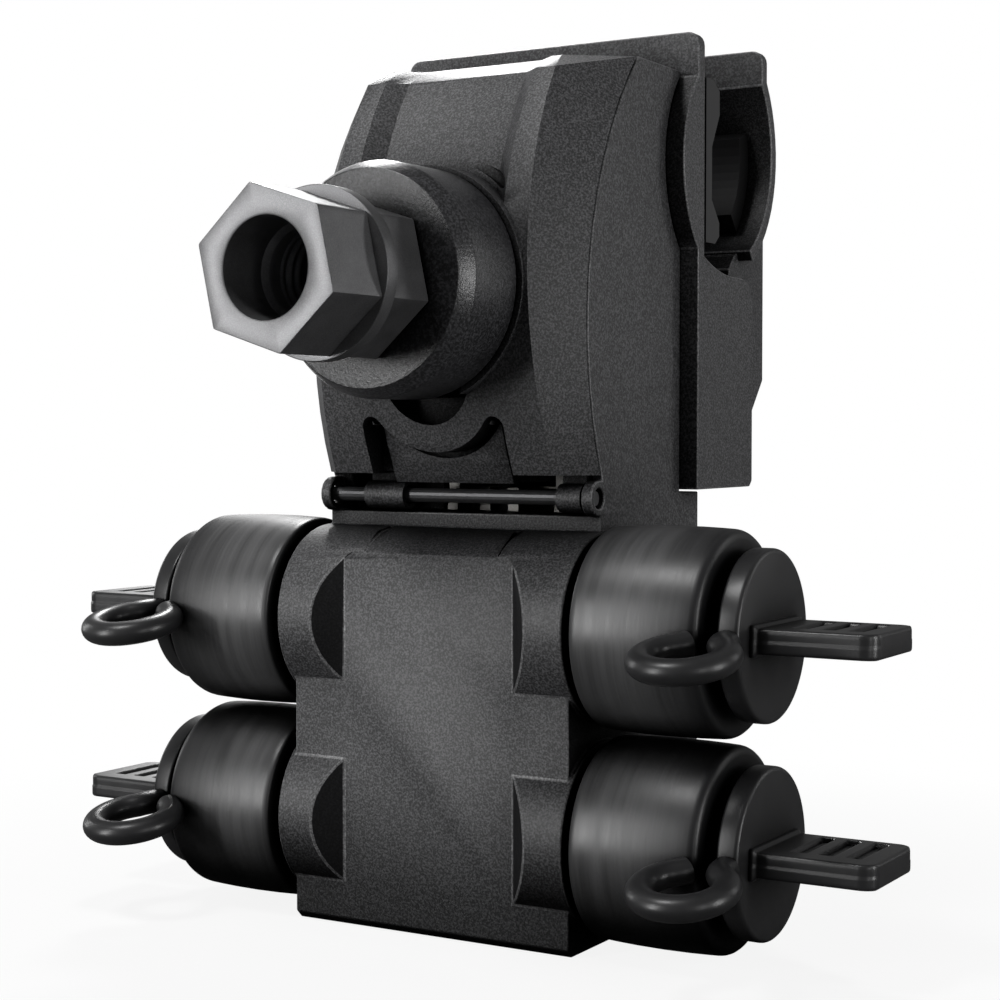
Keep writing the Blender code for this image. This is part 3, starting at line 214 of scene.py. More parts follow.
def ringLinesGroup():
    # fine lines round an X axis: noise that is stretched across X and short along it
    group, given, out = socketed(
        "ringLines",
        [("Line Width mm", 0.35), ("Contrast", 1.0)],
        ["Height", "Tone"],
    )
    place = group.nodes.new("ShaderNodeTexCoord")
    shrink = group.nodes.new("ShaderNodeMapping")
    shrink.inputs["Scale"].default_value = (1.0, 0.035, 0.035)
    group.links.new(place.outputs["Object"], shrink.inputs["Vector"])
    width = given.outputs["Line Width mm"]
    lines = noiseNode(group, shrink.outputs["Vector"], width, detail=5.0, roughness=0.7)
    tone = rangeNode(group, lines, 0.0, 1.0, 0.35, 0.68)
    group.links.new(lines, out.inputs["Height"])
    group.links.new(mathNode(group, "MULTIPLY", tone, given.outputs["Contrast"]), out.inputs["Tone"])
    return group


grainGroup = mouldGrainGroup()
ringGroup = ringLinesGroup()

# how open a surface is, from 0 to 1, for painted gap shade: below closed it is deep in a gap, above open it is free
gapShade = {"samples": 6, "closed": 0.40, "open": 0.92, "least": 0.04}


class Finish:
    # one material with its Principled shader, and short ways to add nodes to it
    def __init__(self, name, roughness, metallic=0.0):
        self.material = bpy.data.materials.new(name)
        self.material.use_nodes = True
        self.tree = self.material.node_tree
        self.shader = self.tree.nodes["Principled BSDF"]
        self.shader.inputs["Roughness"].default_value = roughness
        self.shader.inputs["Metallic"].default_value = metallic

    def link(self, value, socketName):
        self.tree.links.new(value, self.shader.inputs[socketName])

    def group(self, group, **values):
        node = self.tree.nodes.new("ShaderNodeGroup")
        node.node_tree = group
        for key, value in values.items():
            node.inputs[key].default_value = value
        return node.outputs

    def grain(self, grainMm, speckle, mottleMm):
        return self.group(grainGroup, **{"Grain Size mm": grainMm, "Speckle": speckle, "Mottle Size mm": mottleMm})

    def rangeOf(self, value, low, high, fromLow=0.0, fromHigh=1.0):
        return rangeNode(self.tree, value, low, high, fromLow, fromHigh)

    def mixColour(self, factor, first, second):
        # each colour is a tuple or another node's output
        mix = self.tree.nodes.new("ShaderNodeMix")
        mix.data_type = "RGBA"
        for value, socket in ((first, mix.inputs["A"]), (second, mix.inputs["B"])):
            if isinstance(value, tuple):
                socket.default_value = (*value, 1.0)
            else:
                self.tree.links.new(value, socket)
        self.tree.links.new(factor, mix.inputs["Factor"])
        return mix.outputs["Result"]

    def paintGapShade(self, colour, shadeReachMm, shine=0.5):
        # painted shade: narrow gaps and deep hollows are painted darker, as shade from the parts around them; how open
        # the surface is scales its colour and its shine
        g = gapShade
        shade = self.tree.nodes.new("ShaderNodeAmbientOcclusion")
        shade.samples = g["samples"]
        shade.inputs["Distance"].default_value = shadeReachMm * mm
        share = self.rangeOf(shade.outputs["AO"], g["least"], 1.0, g["closed"], g["open"])
        gloss = self.rangeOf(shade.outputs["AO"], g["least"] * shine, shine, g["closed"], g["open"])
        self.link(gloss, "Specular IOR Level")
        self.link(self.mixColour(share, (0.0, 0.0, 0.0), colour), "Base Color")

    def bump(self, height, strength, depthMm, before=None):
        node = self.tree.nodes.new("ShaderNodeBump")
        node.inputs["Strength"].default_value = strength
        node.inputs["Distance"].default_value = depthMm * mm
        self.tree.links.new(height, node.inputs["Height"])
        if before is not None:
            self.tree.links.new(before, node.inputs["Normal"])
        return node.outputs["Normal"]


def scaled(colour, share):
    return tuple(min(1.0, share * c) for c in colour)


# shares of a plastic's tone in the mottle's dark and light places and in its specks, which are partly painted glints;
# roughness varies by less and more
plasticLook = {"dark": 0.49, "light": 0.57, "specks": 3.3, "mottleMm": 6.0, "low": 0.3, "high": 0.7,
               "bump": 0.8, "bumpMm": 0.035, "less": 0.015, "more": 0.02}


def housingPlastic(name, tone, grainMm=0.20, speckle=0.8, roughness=0.50, shadeReachMm=11.0, shine=0.5):
    p = plasticLook
    f = Finish(name, roughness)
    grain = f.grain(grainMm, speckle, p["mottleMm"])
    mottle = f.rangeOf(grain["Mottle"], 0.0, 1.0, p["low"], p["high"])
    base = f.mixColour(mottle, scaled(tone, p["dark"]), scaled(tone, p["light"]))
    # painted shade darkens this colour in gaps and hollows
    f.paintGapShade(f.mixColour(grain["Speckle"], base, scaled(tone, p["specks"])), shadeReachMm, shine)
    f.link(f.rangeOf(grain["Mottle"], roughness - p["less"], roughness + p["more"]), "Roughness")
    f.link(f.bump(grain["Height"], p["bump"], p["bumpMm"]), "Normal")
    return f.material


# a sleeve gets a painted sheen round its middle, a lighter tone with lighter ring lines in place of a highlight band,
# fully within the near distance and gone beyond the far distance, in mm from the |X| where it centres
sleeveLook = {"plain": (0.014, 0.014, 0.015), "paintedSheen": (0.060, 0.060, 0.061), "lines": (0.110, 0.110, 0.112),
              "sheenAt": 21.8, "sheenNear": 2.0, "sheenFar": 7.5, "roughness": (0.34, 0.46),
              "lineMm": 1.1, "contrast": 0.8, "lineBump": (0.5, 0.03), "grainBump": (0.2, 0.006), "shadeReachMm": 14.0}


def bootRubber():
    s = sleeveLook
    f = Finish("bootRubber", 0.36)
    lines = f.group(ringGroup, **{"Line Width mm": s["lineMm"], "Contrast": s["contrast"]})
    fine = f.grain(0.12, 0.1, 5.0)
    split = f.tree.nodes.new("ShaderNodeSeparateXYZ")
    f.tree.links.new(f.tree.nodes.new("ShaderNodeTexCoord").outputs["Object"], split.inputs["Vector"])
    # painted sheen: a band round the sleeve's middle where the base colour and its ring lines are lighter, in place of
    # a highlight
    away = mathNode(f.tree, "SUBTRACT", mathNode(f.tree, "ABSOLUTE", split.outputs["X"]), s["sheenAt"] * mm)
    span = mathNode(f.tree, "ABSOLUTE", away)
    paintedSheen = f.rangeOf(span, 1.0, 0.0, s["sheenNear"] * mm, s["sheenFar"] * mm)
    tone = mathNode(f.tree, "MULTIPLY", lines["Tone"], paintedSheen)
    sheenBase = f.mixColour(paintedSheen, s["plain"], s["paintedSheen"])
    # painted shade darkens this colour in gaps and hollows
    f.paintGapShade(f.mixColour(tone, sheenBase, s["lines"]), s["shadeReachMm"])
    f.link(f.rangeOf(lines["Tone"], *s["roughness"]), "Roughness")
    ridges = f.bump(lines["Height"], *s["lineBump"])
    f.link(f.bump(fine["Height"], *s["grainBump"], before=ridges), "Normal")
    return f.material


# roughness of rubber and metal varies by less and more with the mottle
softLook = {"dark": 0.7, "light": 1.3, "grain": (0.25, 0.15, 2.5), "bump": (0.3, 0.012), "less": 0.06, "more": 0.08}
metalLook = {"dark": 0.85, "light": 1.18, "specks": 1.9, "grain": (0.12, 0.35, 2.2), "low": 0.3, "high": 0.7,
             "bump": (0.35, 0.010), "less": 0.06, "more": 0.08}


def softRubber(name, tone, roughness, shadeReachMm=6.0, shine=0.5):
    s = softLook
    f = Finish(name, roughness)
    grain = f.grain(*s["grain"])
    # painted shade darkens this colour in gaps and hollows
    f.paintGapShade(f.mixColour(grain["Mottle"], scaled(tone, s["dark"]), scaled(tone, s["light"])), shadeReachMm, shine)
    f.link(f.rangeOf(grain["Mottle"], roughness - s["less"], roughness + s["more"]), "Roughness")
    f.link(f.bump(grain["Height"], *s["bump"]), "Normal")
    return f.material


def coatedMetal(name, tone, roughness, metallic):
    m = metalLook
    f = Finish(name, roughness, metallic)
    grain = f.grain(*m["grain"])
    mottle = f.rangeOf(grain["Mottle"], 0.0, 1.0, m["low"], m["high"])
    base = f.mixColour(mottle, scaled(tone, m["dark"]), scaled(tone, m["light"]))
    f.link(f.mixColour(grain["Speckle"], base, scaled(tone, m["specks"])), "Base Color")
    f.link(f.rangeOf(grain["Mottle"], roughness - m["less"], roughness + m["more"]), "Roughness")
    f.link(f.bump(grain["Height"], *m["bump"]), "Normal")
    return f.material


plastic = housingPlastic("housingPlastic", (0.046, 0.046, 0.048))
blockPlastic = housingPlastic("blockPlastic", (0.048, 0.048, 0.050), shadeReachMm=19.0)
jawPlastic = housingPlastic("jawPlastic", (0.044, 0.044, 0.046), shadeReachMm=26.0)
# a darker, duller plastic that paints shade on the block's slanted cheeks
cheekShadePlastic = housingPlastic("cheekShadePlastic", (0.018, 0.018, 0.019), speckle=0.2, shine=0.16)
# a lighter plastic on rounded edges: rubbed wear and a painted edge highlight
plasticEdge = housingPlastic("plasticEdge", (0.16, 0.16, 0.164), speckle=0.4, roughness=0.40)
collarPlastic = housingPlastic("collarPlastic", (0.030, 0.030, 0.032), grainMm=0.24, speckle=0.7, roughness=0.32)
boot = bootRubber()
plugRubber = softRubber("plugRubber", (0.022, 0.022, 0.023), 0.34)
sealRubber = softRubber("sealRubber", (0.034, 0.034, 0.035), 0.60)
# a darker, duller copy of the seal rubber for the seal inside the jaw, which paints the shade there
jawShadeRubber = softRubber("jawShadeRubber", (0.010, 0.010, 0.0105), 0.62, shadeReachMm=12.0, shine=0.15)
nutMetal = coatedMetal("nutMetal", (0.120, 0.120, 0.123), 0.38, 0.6)
zincSteel = coatedMetal("zincSteel", (0.12, 0.12, 0.125), 0.48, 1.0)
darkSteel = coatedMetal("darkSteel", (0.055, 0.055, 0.057), 0.40, 0.7)
tinned = coatedMetal("tinnedCopper", (0.075, 0.073, 0.069), 0.38, 1.0)
print("finishes made")


# shear nut; the last three entries are pairs (behind the bore's floor or the front, over the radius there)
nut = {
    "front": -31.7, "firstEnd": -24.6, "flangeEnd": -23.0, "back": -17.2,
    "across": 13.0, "flange": 7.75, "height": 62.6, "turn": -12.2,
    "edge": 0.09, "cap": 7.47, "capBlend": 60.0, "filletLong": 0.12, "filletOut": 0.02,
    "boreRadius": 4.43, "boreDepth": 5.3,
    "threadRadius": 3.9, "threadDepth": 0.28, "pitch": 1.25, "rings": 8,
    "threadMouth": 0.35, "threadStart": 0.4, "threadStop": 2.2,
    "runOut": ((1.2, 0.05), (0.62, 0.05), (0.55, 0.08)),
    "boreFloor": ((0.06, -0.05), (0.0, 0.0)),
    "boreRim": ((0.25, 0.0), (0.06, 0.05), (0.0, 0.22)),
}


def nutMesh():
    # radius(angle) is a rounded hexagon or a circle at each station along the axis
    n = nut
    a = np.linspace(0, math.tau, 240, endpoint=False)
    sixth = math.radians(60.0)
    hexagon = 0.5 * n["across"] / np.cos(np.mod(a, sixth) - 0.5 * sixth)
    hexagon = n["cap"] - np.logaddexp(0, (n["cap"] - hexagon) * n["capBlend"]) / n["capBlend"]
    fillet = hexagon + n["filletOut"]
    e = n["edge"]
    turn = np.radians([0.0, 22.5, 45.0, 67.5, 90.0])
    rows = []

    def ring(y, radii):
        rows.append((y, np.broadcast_to(radii, a.shape)))

    def frontCorner(y, radii):  # a quarter turn from a flat end out to the side
        for t in turn[::-1]:
            ring(y + e * (1 - math.sin(t)), radii - e * (1 - math.cos(t)))

    def backCorner(y, radii):  # and from the side in to a flat end
        for t in turn:
            ring(y - e * (1 - math.sin(t)), radii - e * (1 - math.cos(t)))

    frontCorner(n["front"], hexagon)
    ring(n["firstEnd"] - n["filletLong"], hexagon)
    ring(n["firstEnd"], fillet)
    frontCorner(n["firstEnd"], n["flange"])
    backCorner(n["flangeEnd"], n["flange"])
    ring(n["flangeEnd"], fillet)
    ring(n["flangeEnd"] + n["filletLong"], hexagon)
    backCorner(n["back"], hexagon)
    floor = n["front"] + n["boreDepth"]
    ring(n["back"], n["threadRadius"] + n["threadMouth"])
    y = np.arange(n["back"] - n["threadStart"], floor + n["threadStop"], -n["pitch"] / n["rings"])
    for k, at in enumerate(y):  # ring-shaped thread crests
        wave = 0.5 - 0.5 * math.cos(math.tau * k / n["rings"])
        ring(at, n["threadRadius"] + n["threadDepth"] * wave)
    for start, radius, steps in ((floor, n["threadRadius"], n["runOut"]), (floor, n["boreRadius"], n["boreFloor"]),
                                 (n["front"], n["boreRadius"], n["boreRim"])):
        for behind, over in steps:
            ring(start + behind, radius + over)
    along = np.array([r[0] for r in rows])[:, None]
    radii = np.stack([r[1] for r in rows])
    spin = a + math.radians(n["turn"])
    points = np.stack([radii * np.sin(spin), np.broadcast_to(along, radii.shape),
                       n["height"] + radii * np.cos(spin)], -1) * mm
    return gridMesh("shearNut", points, wrapRows=True, sharp=32.0)


addPiece("shearNut", nutMesh(), "nut", nutMetal, ["shear_nut"])
print("shear nut made")


# thrust collar; corners are rounding radii, from the back of the hole outwards and forward
collar = {"front": -16.9, "back": -8.1, "radius": 10.9, "face": 10.0, "cone": 1.7, "hole": 4.3, "mouth": 0.3,
          "height": 62.6, "corners": (0.2, 0.25, 0.14, 0.12, 0.1, 0.1)}


def collarMesh():
    c = collar
    line = [(c["back"], c["hole"]), (c["back"], c["radius"]), (c["front"] + c["cone"], c["radius"]),
            (c["front"], c["face"]), (c["front"], c["hole"] + c["mouth"]), (c["front"] + c["mouth"], c["hole"])]
    profile = roundLine(line, c["corners"], 3, closed=True) * mm
    return turnedMesh("thrustCollar", profile, (0, 0, c["height"] * mm), "Y", 160, sharp=14.0)


addPiece("thrustCollar", collarMesh(), "housing", collarPlastic, ["thrust_collar"])
print("thrust collar made")


# boots, plugs and tethers; port heights and lengths along X in mm
ports = {"lower": 10.5, "upper": 30.3}
sides = {"left": -1, "right": 1}
bootSizes = {"start": 17.0, "end": 29.7, "radius": 9.75, "inside": 7.3, "lip": 4.9, "mouth": 6.0,
             "footStep": 0.1, "footLong": 0.5, "bulge": 0.22, "bulgeAt": (0.85, 0.7, 0.5, 0.3, 0.15),
             "bulgeBand": 1.2, "corners": (0.1, 0.25, 0.2, 0, 0, 0, 0, 0, 1.1, 0.3, 0.1, 0.1)}
plug = {"disc": 7.95, "discStart": 30.9, "discEnd": 33.0, "stem": 5.7, "stemStart": 25.5, "centre": 0.02,
        "corners": (0, 0.6, 0.2, 0.35, 0.45, 0)}
tab = {"sink": 0.3, "end": 44.5, "half": 5.2, "thick": 2.3, "corner": 1.5, "edge": 0.32,
       "root": 0.3, "rootFrom": 0.35, "rootTo": 0.65, "parting": 0.10, "partingBlur": 0.03,
       "grooves": (36.0, 38.5, 41.1), "grooveWidth": 1.5, "grooveDepth": 0.45, "grooveIn": 0.16, "grooveOut": 0.5,
       "grooveFront": -3.0, "grooveBack": 3.9, "slopeFront": 0.18, "slopeBack": 0.2}
tether = {"radius": 1.3, "squash": 0.92, "loop": 3.8, "legs": 2.9, "neck": 0.3, "gap": 0.1, "droop": 1.6,
          "bootRim": 29.1, "discMiddle": 31.95, "blendStart": 0.6, "blendEnd": 0.4}


def bootMesh(name, side, height):
    b = bootSizes
    lipStart = b["end"] - b["lip"]
    line = [(b["start"], b["inside"]), (b["start"], b["radius"] - b["footStep"]),
            (b["start"] + b["footLong"], b["radius"]), (b["end"], b["radius"]), (b["end"], b["mouth"]),
            (lipStart, b["mouth"]), (lipStart, b["inside"])]
    length = b["end"] - b["start"]
    for share in b["bulgeAt"]:
        line.insert(3, (b["start"] + length * share, b["radius"]))
    profile = roundLine(line, b["corners"], 6, closed=True)
    # the sleeve's side bulges: radius falls off with the square of the distance from its middle
    middle = 0.5 * (b["start"] + b["end"])
    outside = profile[:, 1] > b["radius"] - b["bulgeBand"]
    fall = b["bulge"] * ((profile[:, 0] - middle) / (0.5 * length)) ** 2
    profile[:, 1] -= np.where(outside, fall, 0.0)
    profile = profile * mm * np.array([side, 1.0])
    return turnedMesh(name, profile, (0, 0, height * mm), "X", 144, sharp=50.0)


def smooth(value, low, high):
    # 0 below low, 1 above high, and 3 t^2 - 2 t^3 between them
    t = np.clip((value - low) / (high - low), 0.0, 1.0)
    return t * t * (3 - 2 * t)


def tabMesh(side, height):
    # rounded oblong sections along X: half width and half thickness close in a quarter circle at the end,
    # both faces sink at three grooves, the lower half stands out by the parting step, and the root is thicker
    p = tab
    end, r, e = p["end"], p["corner"], p["edge"]
    tipAngles = np.linspace(0.06, 0.5 * math.pi, 14)
    x = np.concatenate([np.linspace(plug["discEnd"] - p["sink"], end - r, 84), end - r + r * np.sin(tipAngles)])
    x = x[:, None]
    bend = np.clip(x - (end - r), 0, r)
    half = p["half"] - r + np.sqrt(np.maximum(r * r - bend * bend, 0))
    half = np.maximum(half, p["half"] - r + 1e-3)  # never quite closed
    tip = np.clip(x - (end - e), 0, e)
    thick = 0.5 * p["thick"] - e + np.sqrt(np.maximum(e * e - tip * tip, 0)) + 1e-4
    root = 1 - smooth(x, plug["discEnd"] + p["rootFrom"], plug["discEnd"] + p["rootTo"])
    thick, half = thick + p["root"] * root, half + p["root"] * root
    # one turn round the section: upper face, edge, side wall, edge, then the same for the lower half
    corner, wallSteps = 5, 10
    face = np.linspace(-1, 1, 70)
    q = np.linspace(0, 0.5 * math.pi, corner + 1)[1:]
    wall = np.linspace(1, -1, wallSteps + 2)[1:-1]
    straight, rim = np.ones(corner), np.ones(2 * corner + wallSteps)
    flat = np.concatenate([face, rim, face[::-1], -rim])
    flatZ = np.concatenate([0 * face + 1, straight, wall, -straight,
                            0 * face - 1, -straight, wall[::-1], straight])
    outY = np.concatenate([0 * face, np.sin(q), np.ones(wallSteps), np.cos(q)])
    upZ = np.concatenate([0 * face + 1, np.cos(q), 0 * wall, -np.sin(q)])
    outY, upZ = np.concatenate([outY, -outY]), np.concatenate([upZ, -upZ])
    y = flat * (half - e) + outY * e
    z = flatZ * (thick - e) + upZ * e
    onWall, onFace = np.abs(outY) > 0.5, (upZ != 0) & (outY == 0)
    y = y + np.sign(outY) * p["parting"] * smooth(-z, -p["partingBlur"], p["partingBlur"]) * onWall
    width, slope = p["grooveWidth"], p["grooveOut"]
    sunk = sum(smooth(x, g, g + p["grooveIn"]) * (1 - smooth(x, g + width - slope, g + width))
               for g in p["grooves"])
    across = smooth(y, p["grooveFront"], p["grooveFront"] + p["slopeFront"])
    across = across * (1 - smooth(y, p["grooveBack"], p["grooveBack"] + p["slopeBack"]))
    z = z - np.sign(upZ) * p["grooveDepth"] * sunk * across * onFace
    points = np.stack([np.broadcast_to(x, y.shape) * side, y, height + z], -1) * mm
    return gridMesh("tab", points, caps=("first", "last"), sharp=50.0)


def plugMesh(name, side, height):
    p = plug
    line = [(p["stemStart"], p["centre"]), (p["stemStart"], p["stem"]), (p["discStart"], p["stem"]),
            (p["discStart"], p["disc"]), (p["discEnd"], p["disc"]), (p["discEnd"], p["centre"])]
    profile = roundLine(line, p["corners"], 5) * mm * np.array([side, 1.0])
    disc = turnedMesh("disc", profile, (0, 0, height * mm), "X", 128, ring=False, sharp=50.0)
    return joinMeshes(name, [disc, tabMesh(side, height)])


def tetherMesh(name, side, height):
    # a round section carried along a smooth line: boot rim, loop, disc edge
    t = tether
    half = 0.5 * t["legs"]
    opening = math.degrees(math.asin(half / t["loop"]))
    startY, endY = -(bootSizes["radius"] + t["gap"]), -(plug["disc"] + t["gap"])
    centreX = t["bootRim"] + half
    centreY = startY - t["loop"] * math.cos(math.radians(opening)) - t["neck"]
    loop = arcLine((centreX, centreY), t["loop"], 90 + opening, 450 - opening, 48)
    flat = np.concatenate([[(t["bootRim"], startY)], loop, [(t["discMiddle"], endY)]])
    for _ in range(3):  # the legs run smoothly into the loop
        flat[1:-1] = 0.25 * flat[:-2] + 0.5 * flat[1:-1] + 0.25 * flat[2:]
    far = startY - (centreY - t["loop"])
    drop = t["droop"] * np.clip((startY - flat[:, 1]) / far, 0, 1)
    path = np.column_stack([flat, height - drop]) * mm
    forward = np.gradient(path, axis=0)
    forward /= np.linalg.norm(forward, axis=1, keepdims=True)
    sideways = np.cross(forward, np.array([0.0, 0.0, 1.0]))
    sideways /= np.linalg.norm(sideways, axis=1, keepdims=True)
    upward = np.cross(sideways, forward)
    a = np.linspace(0, math.tau, 28, endpoint=False)
    ring = np.stack([np.cos(a), np.sin(a) * t["squash"]], -1) * t["radius"] * mm
    points = path[:, None] + ring[None, :, :1] * sideways[:, None] + ring[None, :, 1:] * upward[:, None]
    return gridMesh(name, points * np.array([side, 1.0, 1.0]), caps=("first", "last"))


for rowName, height in ports.items():
    for sideName, side in sides.items():
        tag = rowName + "_" + sideName
        word = rowName.capitalize() + sideName.capitalize()
        addPiece("boot" + word, bootMesh("boot" + word, side, height), "housing", boot,
                 ["port_boot_" + tag])
        addPiece("plug" + word, plugMesh("plug" + word, side, height), "plug_" + tag, plugRubber,
                 ["port_plug_" + tag])
        piece = addPiece("tether" + word, tetherMesh("tether" + word, side, height), None,
                         plugRubber, ["plug_tether_" + tag])
        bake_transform(piece)
print("boots, plugs and tethers made")


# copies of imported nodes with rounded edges: name, width of the rounding in mm, body and finish
softEdges = {
    "tap_block": ("tapBlock", 0.16, "housing", blockPlastic),
    "clamp_cover": ("clampCover", 0.14, "housing", plastic),
    "front_saddle": ("frontSaddle", 0.14, "housing", plastic),
    "rear_jaw": ("rearJaw", 0.14, "jaw", jawPlastic),
}
# edges sharper than angle are rounded, but not beside a strip narrower than narrow mm, and not in the box spared,
# from low to high |x|, y and z in mm, where the block's upper cheeks end in a thin horn
edges = {"angle": 28.0, "segments": 2, "narrow": 0.13, "spared": ((8.9, -7.2, 35.7), (10.2, -6.0, 37.0))}
# the merging distances of a copy: its packed vertices, and slivers that would spoil a rounding
merging = {"packed": 0.002, "flatAngle": 1.5, "slivers": 0.09, "degenerate": 0.02}
# the cover's bevelled top edge runs on over the sunk panel: above the bevel's start its front lies at
# faceY(z) + sunk(|x|) + slope (z - start), with faceY the arc of the cover's face
topEdge = {"arcY": 30.750, "arcZ": 61.200, "arcRadius": 38.36, "top": 84.900, "height": 1.6, "rim": 0.35,
           "slope": 1.2, "panelHalf": 8.6, "panelSlant": 1.267, "sunk": 1.5, "depth": 2.4}
# the slanted D-shaped faces of the block beside the front panel, which get painted shade: where they lie in mm, and
# how they face
cheeks = {"near": 8.0, "far": 16.5, "top": 38.0, "leastAcross": 0.25, "mostAcross": 0.97, "forward": -0.2, "up": 0.2}


def mergedCopy(node):
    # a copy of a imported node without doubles, and with its flat faces joined
    def joinFlat(bm):
        bmesh.ops.dissolve_limit(bm, angle_limit=math.radians(merging["flatAngle"]), verts=bm.verts, edges=bm.edges)
    return shaded(welded(nodes[node].data.copy(), merging["packed"] * mm, joinFlat), 30.0)


def joinedSlivers(mesh):
    # vertices close together become one, so that the rounded edges stay clean
    def dropDegenerate(bm):
        bmesh.ops.dissolve_degenerate(bm, dist=merging["degenerate"] * mm, edges=bm.edges)
    return welded(mesh, merging["slivers"] * mm, dropDegenerate)


def bevelPanelTop(mesh):
    e = topEdge
    start = e["top"] - e["height"]
    floorHalf = e["panelHalf"] - e["panelSlant"] * e["sunk"]
    bm = bmesh.new()
    bm.from_mesh(mesh)
    cuts = [((0, 0, z * mm), (0, 0, 1)) for z in (start, e["top"] - e["rim"])]
    cuts += [((x * mm, 0, 0), (1, 0, 0)) for half in (floorHalf, e["panelHalf"]) for x in (-half, half)]
    for at, normal in cuts:
        everything = bm.verts[:] + bm.edges[:] + bm.faces[:]
        bmesh.ops.bisect_plane(bm, geom=everything, dist=1e-6, plane_co=at, plane_no=normal)
    bm.to_mesh(mesh)
    bm.free()
    at = np.empty(len(mesh.vertices) * 3)
    mesh.vertices.foreach_get("co", at)
    at = at.reshape(-1, 3) / mm
    face = e["arcY"] - np.sqrt(e["arcRadius"] ** 2 - (at[:, 2] - e["arcZ"]) ** 2)
    sunk = np.clip((e["panelHalf"] - np.abs(at[:, 0])) / e["panelSlant"], 0.0, e["sunk"])
    above = at[:, 2] > start + 0.02
    mine = above & (np.abs(at[:, 0]) < e["panelHalf"] + 0.01) & (at[:, 1] < face + e["depth"])
    at[mine, 1] = (face + sunk + e["slope"] * (at[:, 2] - start))[mine]
    mesh.vertices.foreach_set("co", (at * mm).ravel())
    return mesh


def weighSharpEdges(mesh):
    # the edges to be rounded get a bevel weight of 1
    low, high = edges["spared"]
    bm = bmesh.new()
    bm.from_mesh(mesh)
    weight = bm.edges.layers.float.new("bevel_weight_edge")
    width = {face.index: face.calc_area() / max(edge.calc_length() for edge in face.edges) for face in bm.faces}

    def isSpared(vertex):
        at = (abs(vertex.co.x) / mm, vertex.co.y / mm, vertex.co.z / mm)
        return all(low[i] < at[i] < high[i] for i in range(3))

    for edge in bm.edges:
        if len(edge.link_faces) == 2 and edge.calc_face_angle(0.0) > math.radians(edges["angle"]):
            thin = min(width[face.index] for face in edge.link_faces) < edges["narrow"] * mm
            edge[weight] = 0.0 if thin or all(isSpared(vertex) for vertex in edge.verts) else 1.0
    bm.to_mesh(mesh)
    bm.free()


def roundEdges(piece, width, clamped):
    # the rounded edges get the piece's second material, a lighter plastic for rubbed wear and a painted edge highlight
    piece.data.materials.append(plasticEdge)
    weighSharpEdges(piece.data)
    bevel = piece.modifiers.new("rounding", "BEVEL")
    bevel.material = 1
    bevel.width = width
    bevel.segments = edges["segments"]
    bevel.limit_method = "WEIGHT"
    bevel.use_clamp_overlap = clamped
    bevel.harden_normals = False


def paintCheekShade(piece):
    # painted shade: the cheeks get the piece's third material, a darker and duller plastic standing in for the shade
    # on them
    c = cheeks
    piece.data.materials.append(cheekShadePlastic)
    for face in piece.data.polygons:
        across, forward, up = face.normal
        beside = c["near"] < abs(face.center.x) / mm < c["far"] and face.center.z / mm < c["top"]
        slanted = c["leastAcross"] < abs(across) < c["mostAcross"] and forward < c["forward"] and abs(up) < c["up"]
        if beside and slanted:
            face.material_index = 2


for node, (name, width, body, material) in softEdges.items():
    mesh = mergedCopy(node)
    if node == "clamp_cover":
        mesh = bevelPanelTop(mesh)
    if node in ("clamp_cover", "tap_block"):
        mesh = joinedSlivers(mesh)
    piece = addPiece(name, mesh, body, material, [node])
    roundEdges(piece, width * mm, clamped=node == "clamp_cover")
    if node == "tap_block":
        paintCheekShade(piece)

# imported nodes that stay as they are
for node, material in {
    "front_seal": sealRubber, "rear_seal": jawShadeRubber, "clamp_bolt": zincSteel, "hinge_pin": darkSteel,
    "contact_left": tinned, "contact_right": tinned,
}.items():
    nodes[node].data.materials.clear()
    nodes[node].data.materials.append(material)
print("housing pieces made")


# floor, light and camera
# the floor fades from its own shade to plain white between two distances from the object, in metres; it is pale
# to the camera, and darker for the light that it throws back up
floorLook = {"reach": 3.0, "fadeFrom": 0.04, "fadeTo": 0.11, "nearShare": 0.88, "thrown": 0.10, "seen": 0.85}
# the white backdrop's strength as light on the object, and the share of it that reflections see
backdrop = {"strength": 0.03, "mirrorShare": 0.12}
# place and aim in metres, width and height, and power in watts
lights = {
    "keySteep": ((-0.08, -0.14, 0.33), (0, 0, 0.06), (0.06, 0.06), 0.42),
    "rearTop": ((-0.20, 0.24, 0.305), (0, 0, 0.085), (0.05, 0.05), 0.75),
    "leftSide": ((-0.40, 0.03, 0.13), (0, 0, 0.06), (0.05, 0.20), 0.20),
    "rearLeft": ((-0.26, 0.28, 0.10), (0, 0, 0.06), (0.05, 0.24), 0.08),
    "stripFront": ((-0.19, -0.32, 0.13), (0, 0, 0.06), (0.035, 0.20), 0.55),
    "frontLow": ((-0.19, -0.32, 0.03), (0, 0, 0.05), (0.035, 0.10), 0.25),
    "sideRight": ((0.36, 0.01, 0.07), (0, 0, 0.06), (0.035, 0.18), 0.45),
    "rightFront": ((0.30, -0.17, 0.06), (0, 0, 0.05), (0.03, 0.20), 0.12),
    "rearRight": ((0.24, 0.26, 0.12), (0, 0, 0.06), (0.06, 0.22), 0.08),
}
view = {"place": (0.1039, -0.1676, 0.0492), "tilt": 87.90, "turn": 30.73, "lens": 72.26, "sensor": 36.0, "near": 0.01}


def emptyTree(owner):
    # clears a material's or world's nodes, and gives 1 for rays from the camera, also through glass
    owner.use_nodes = True
    tree = owner.node_tree
    tree.nodes.clear()
    rays = tree.nodes.new("ShaderNodeLightPath").outputs
    return tree, rays, mathNode(tree, "MAXIMUM", rays["Is Camera Ray"], rays["Is Transmission Ray"])


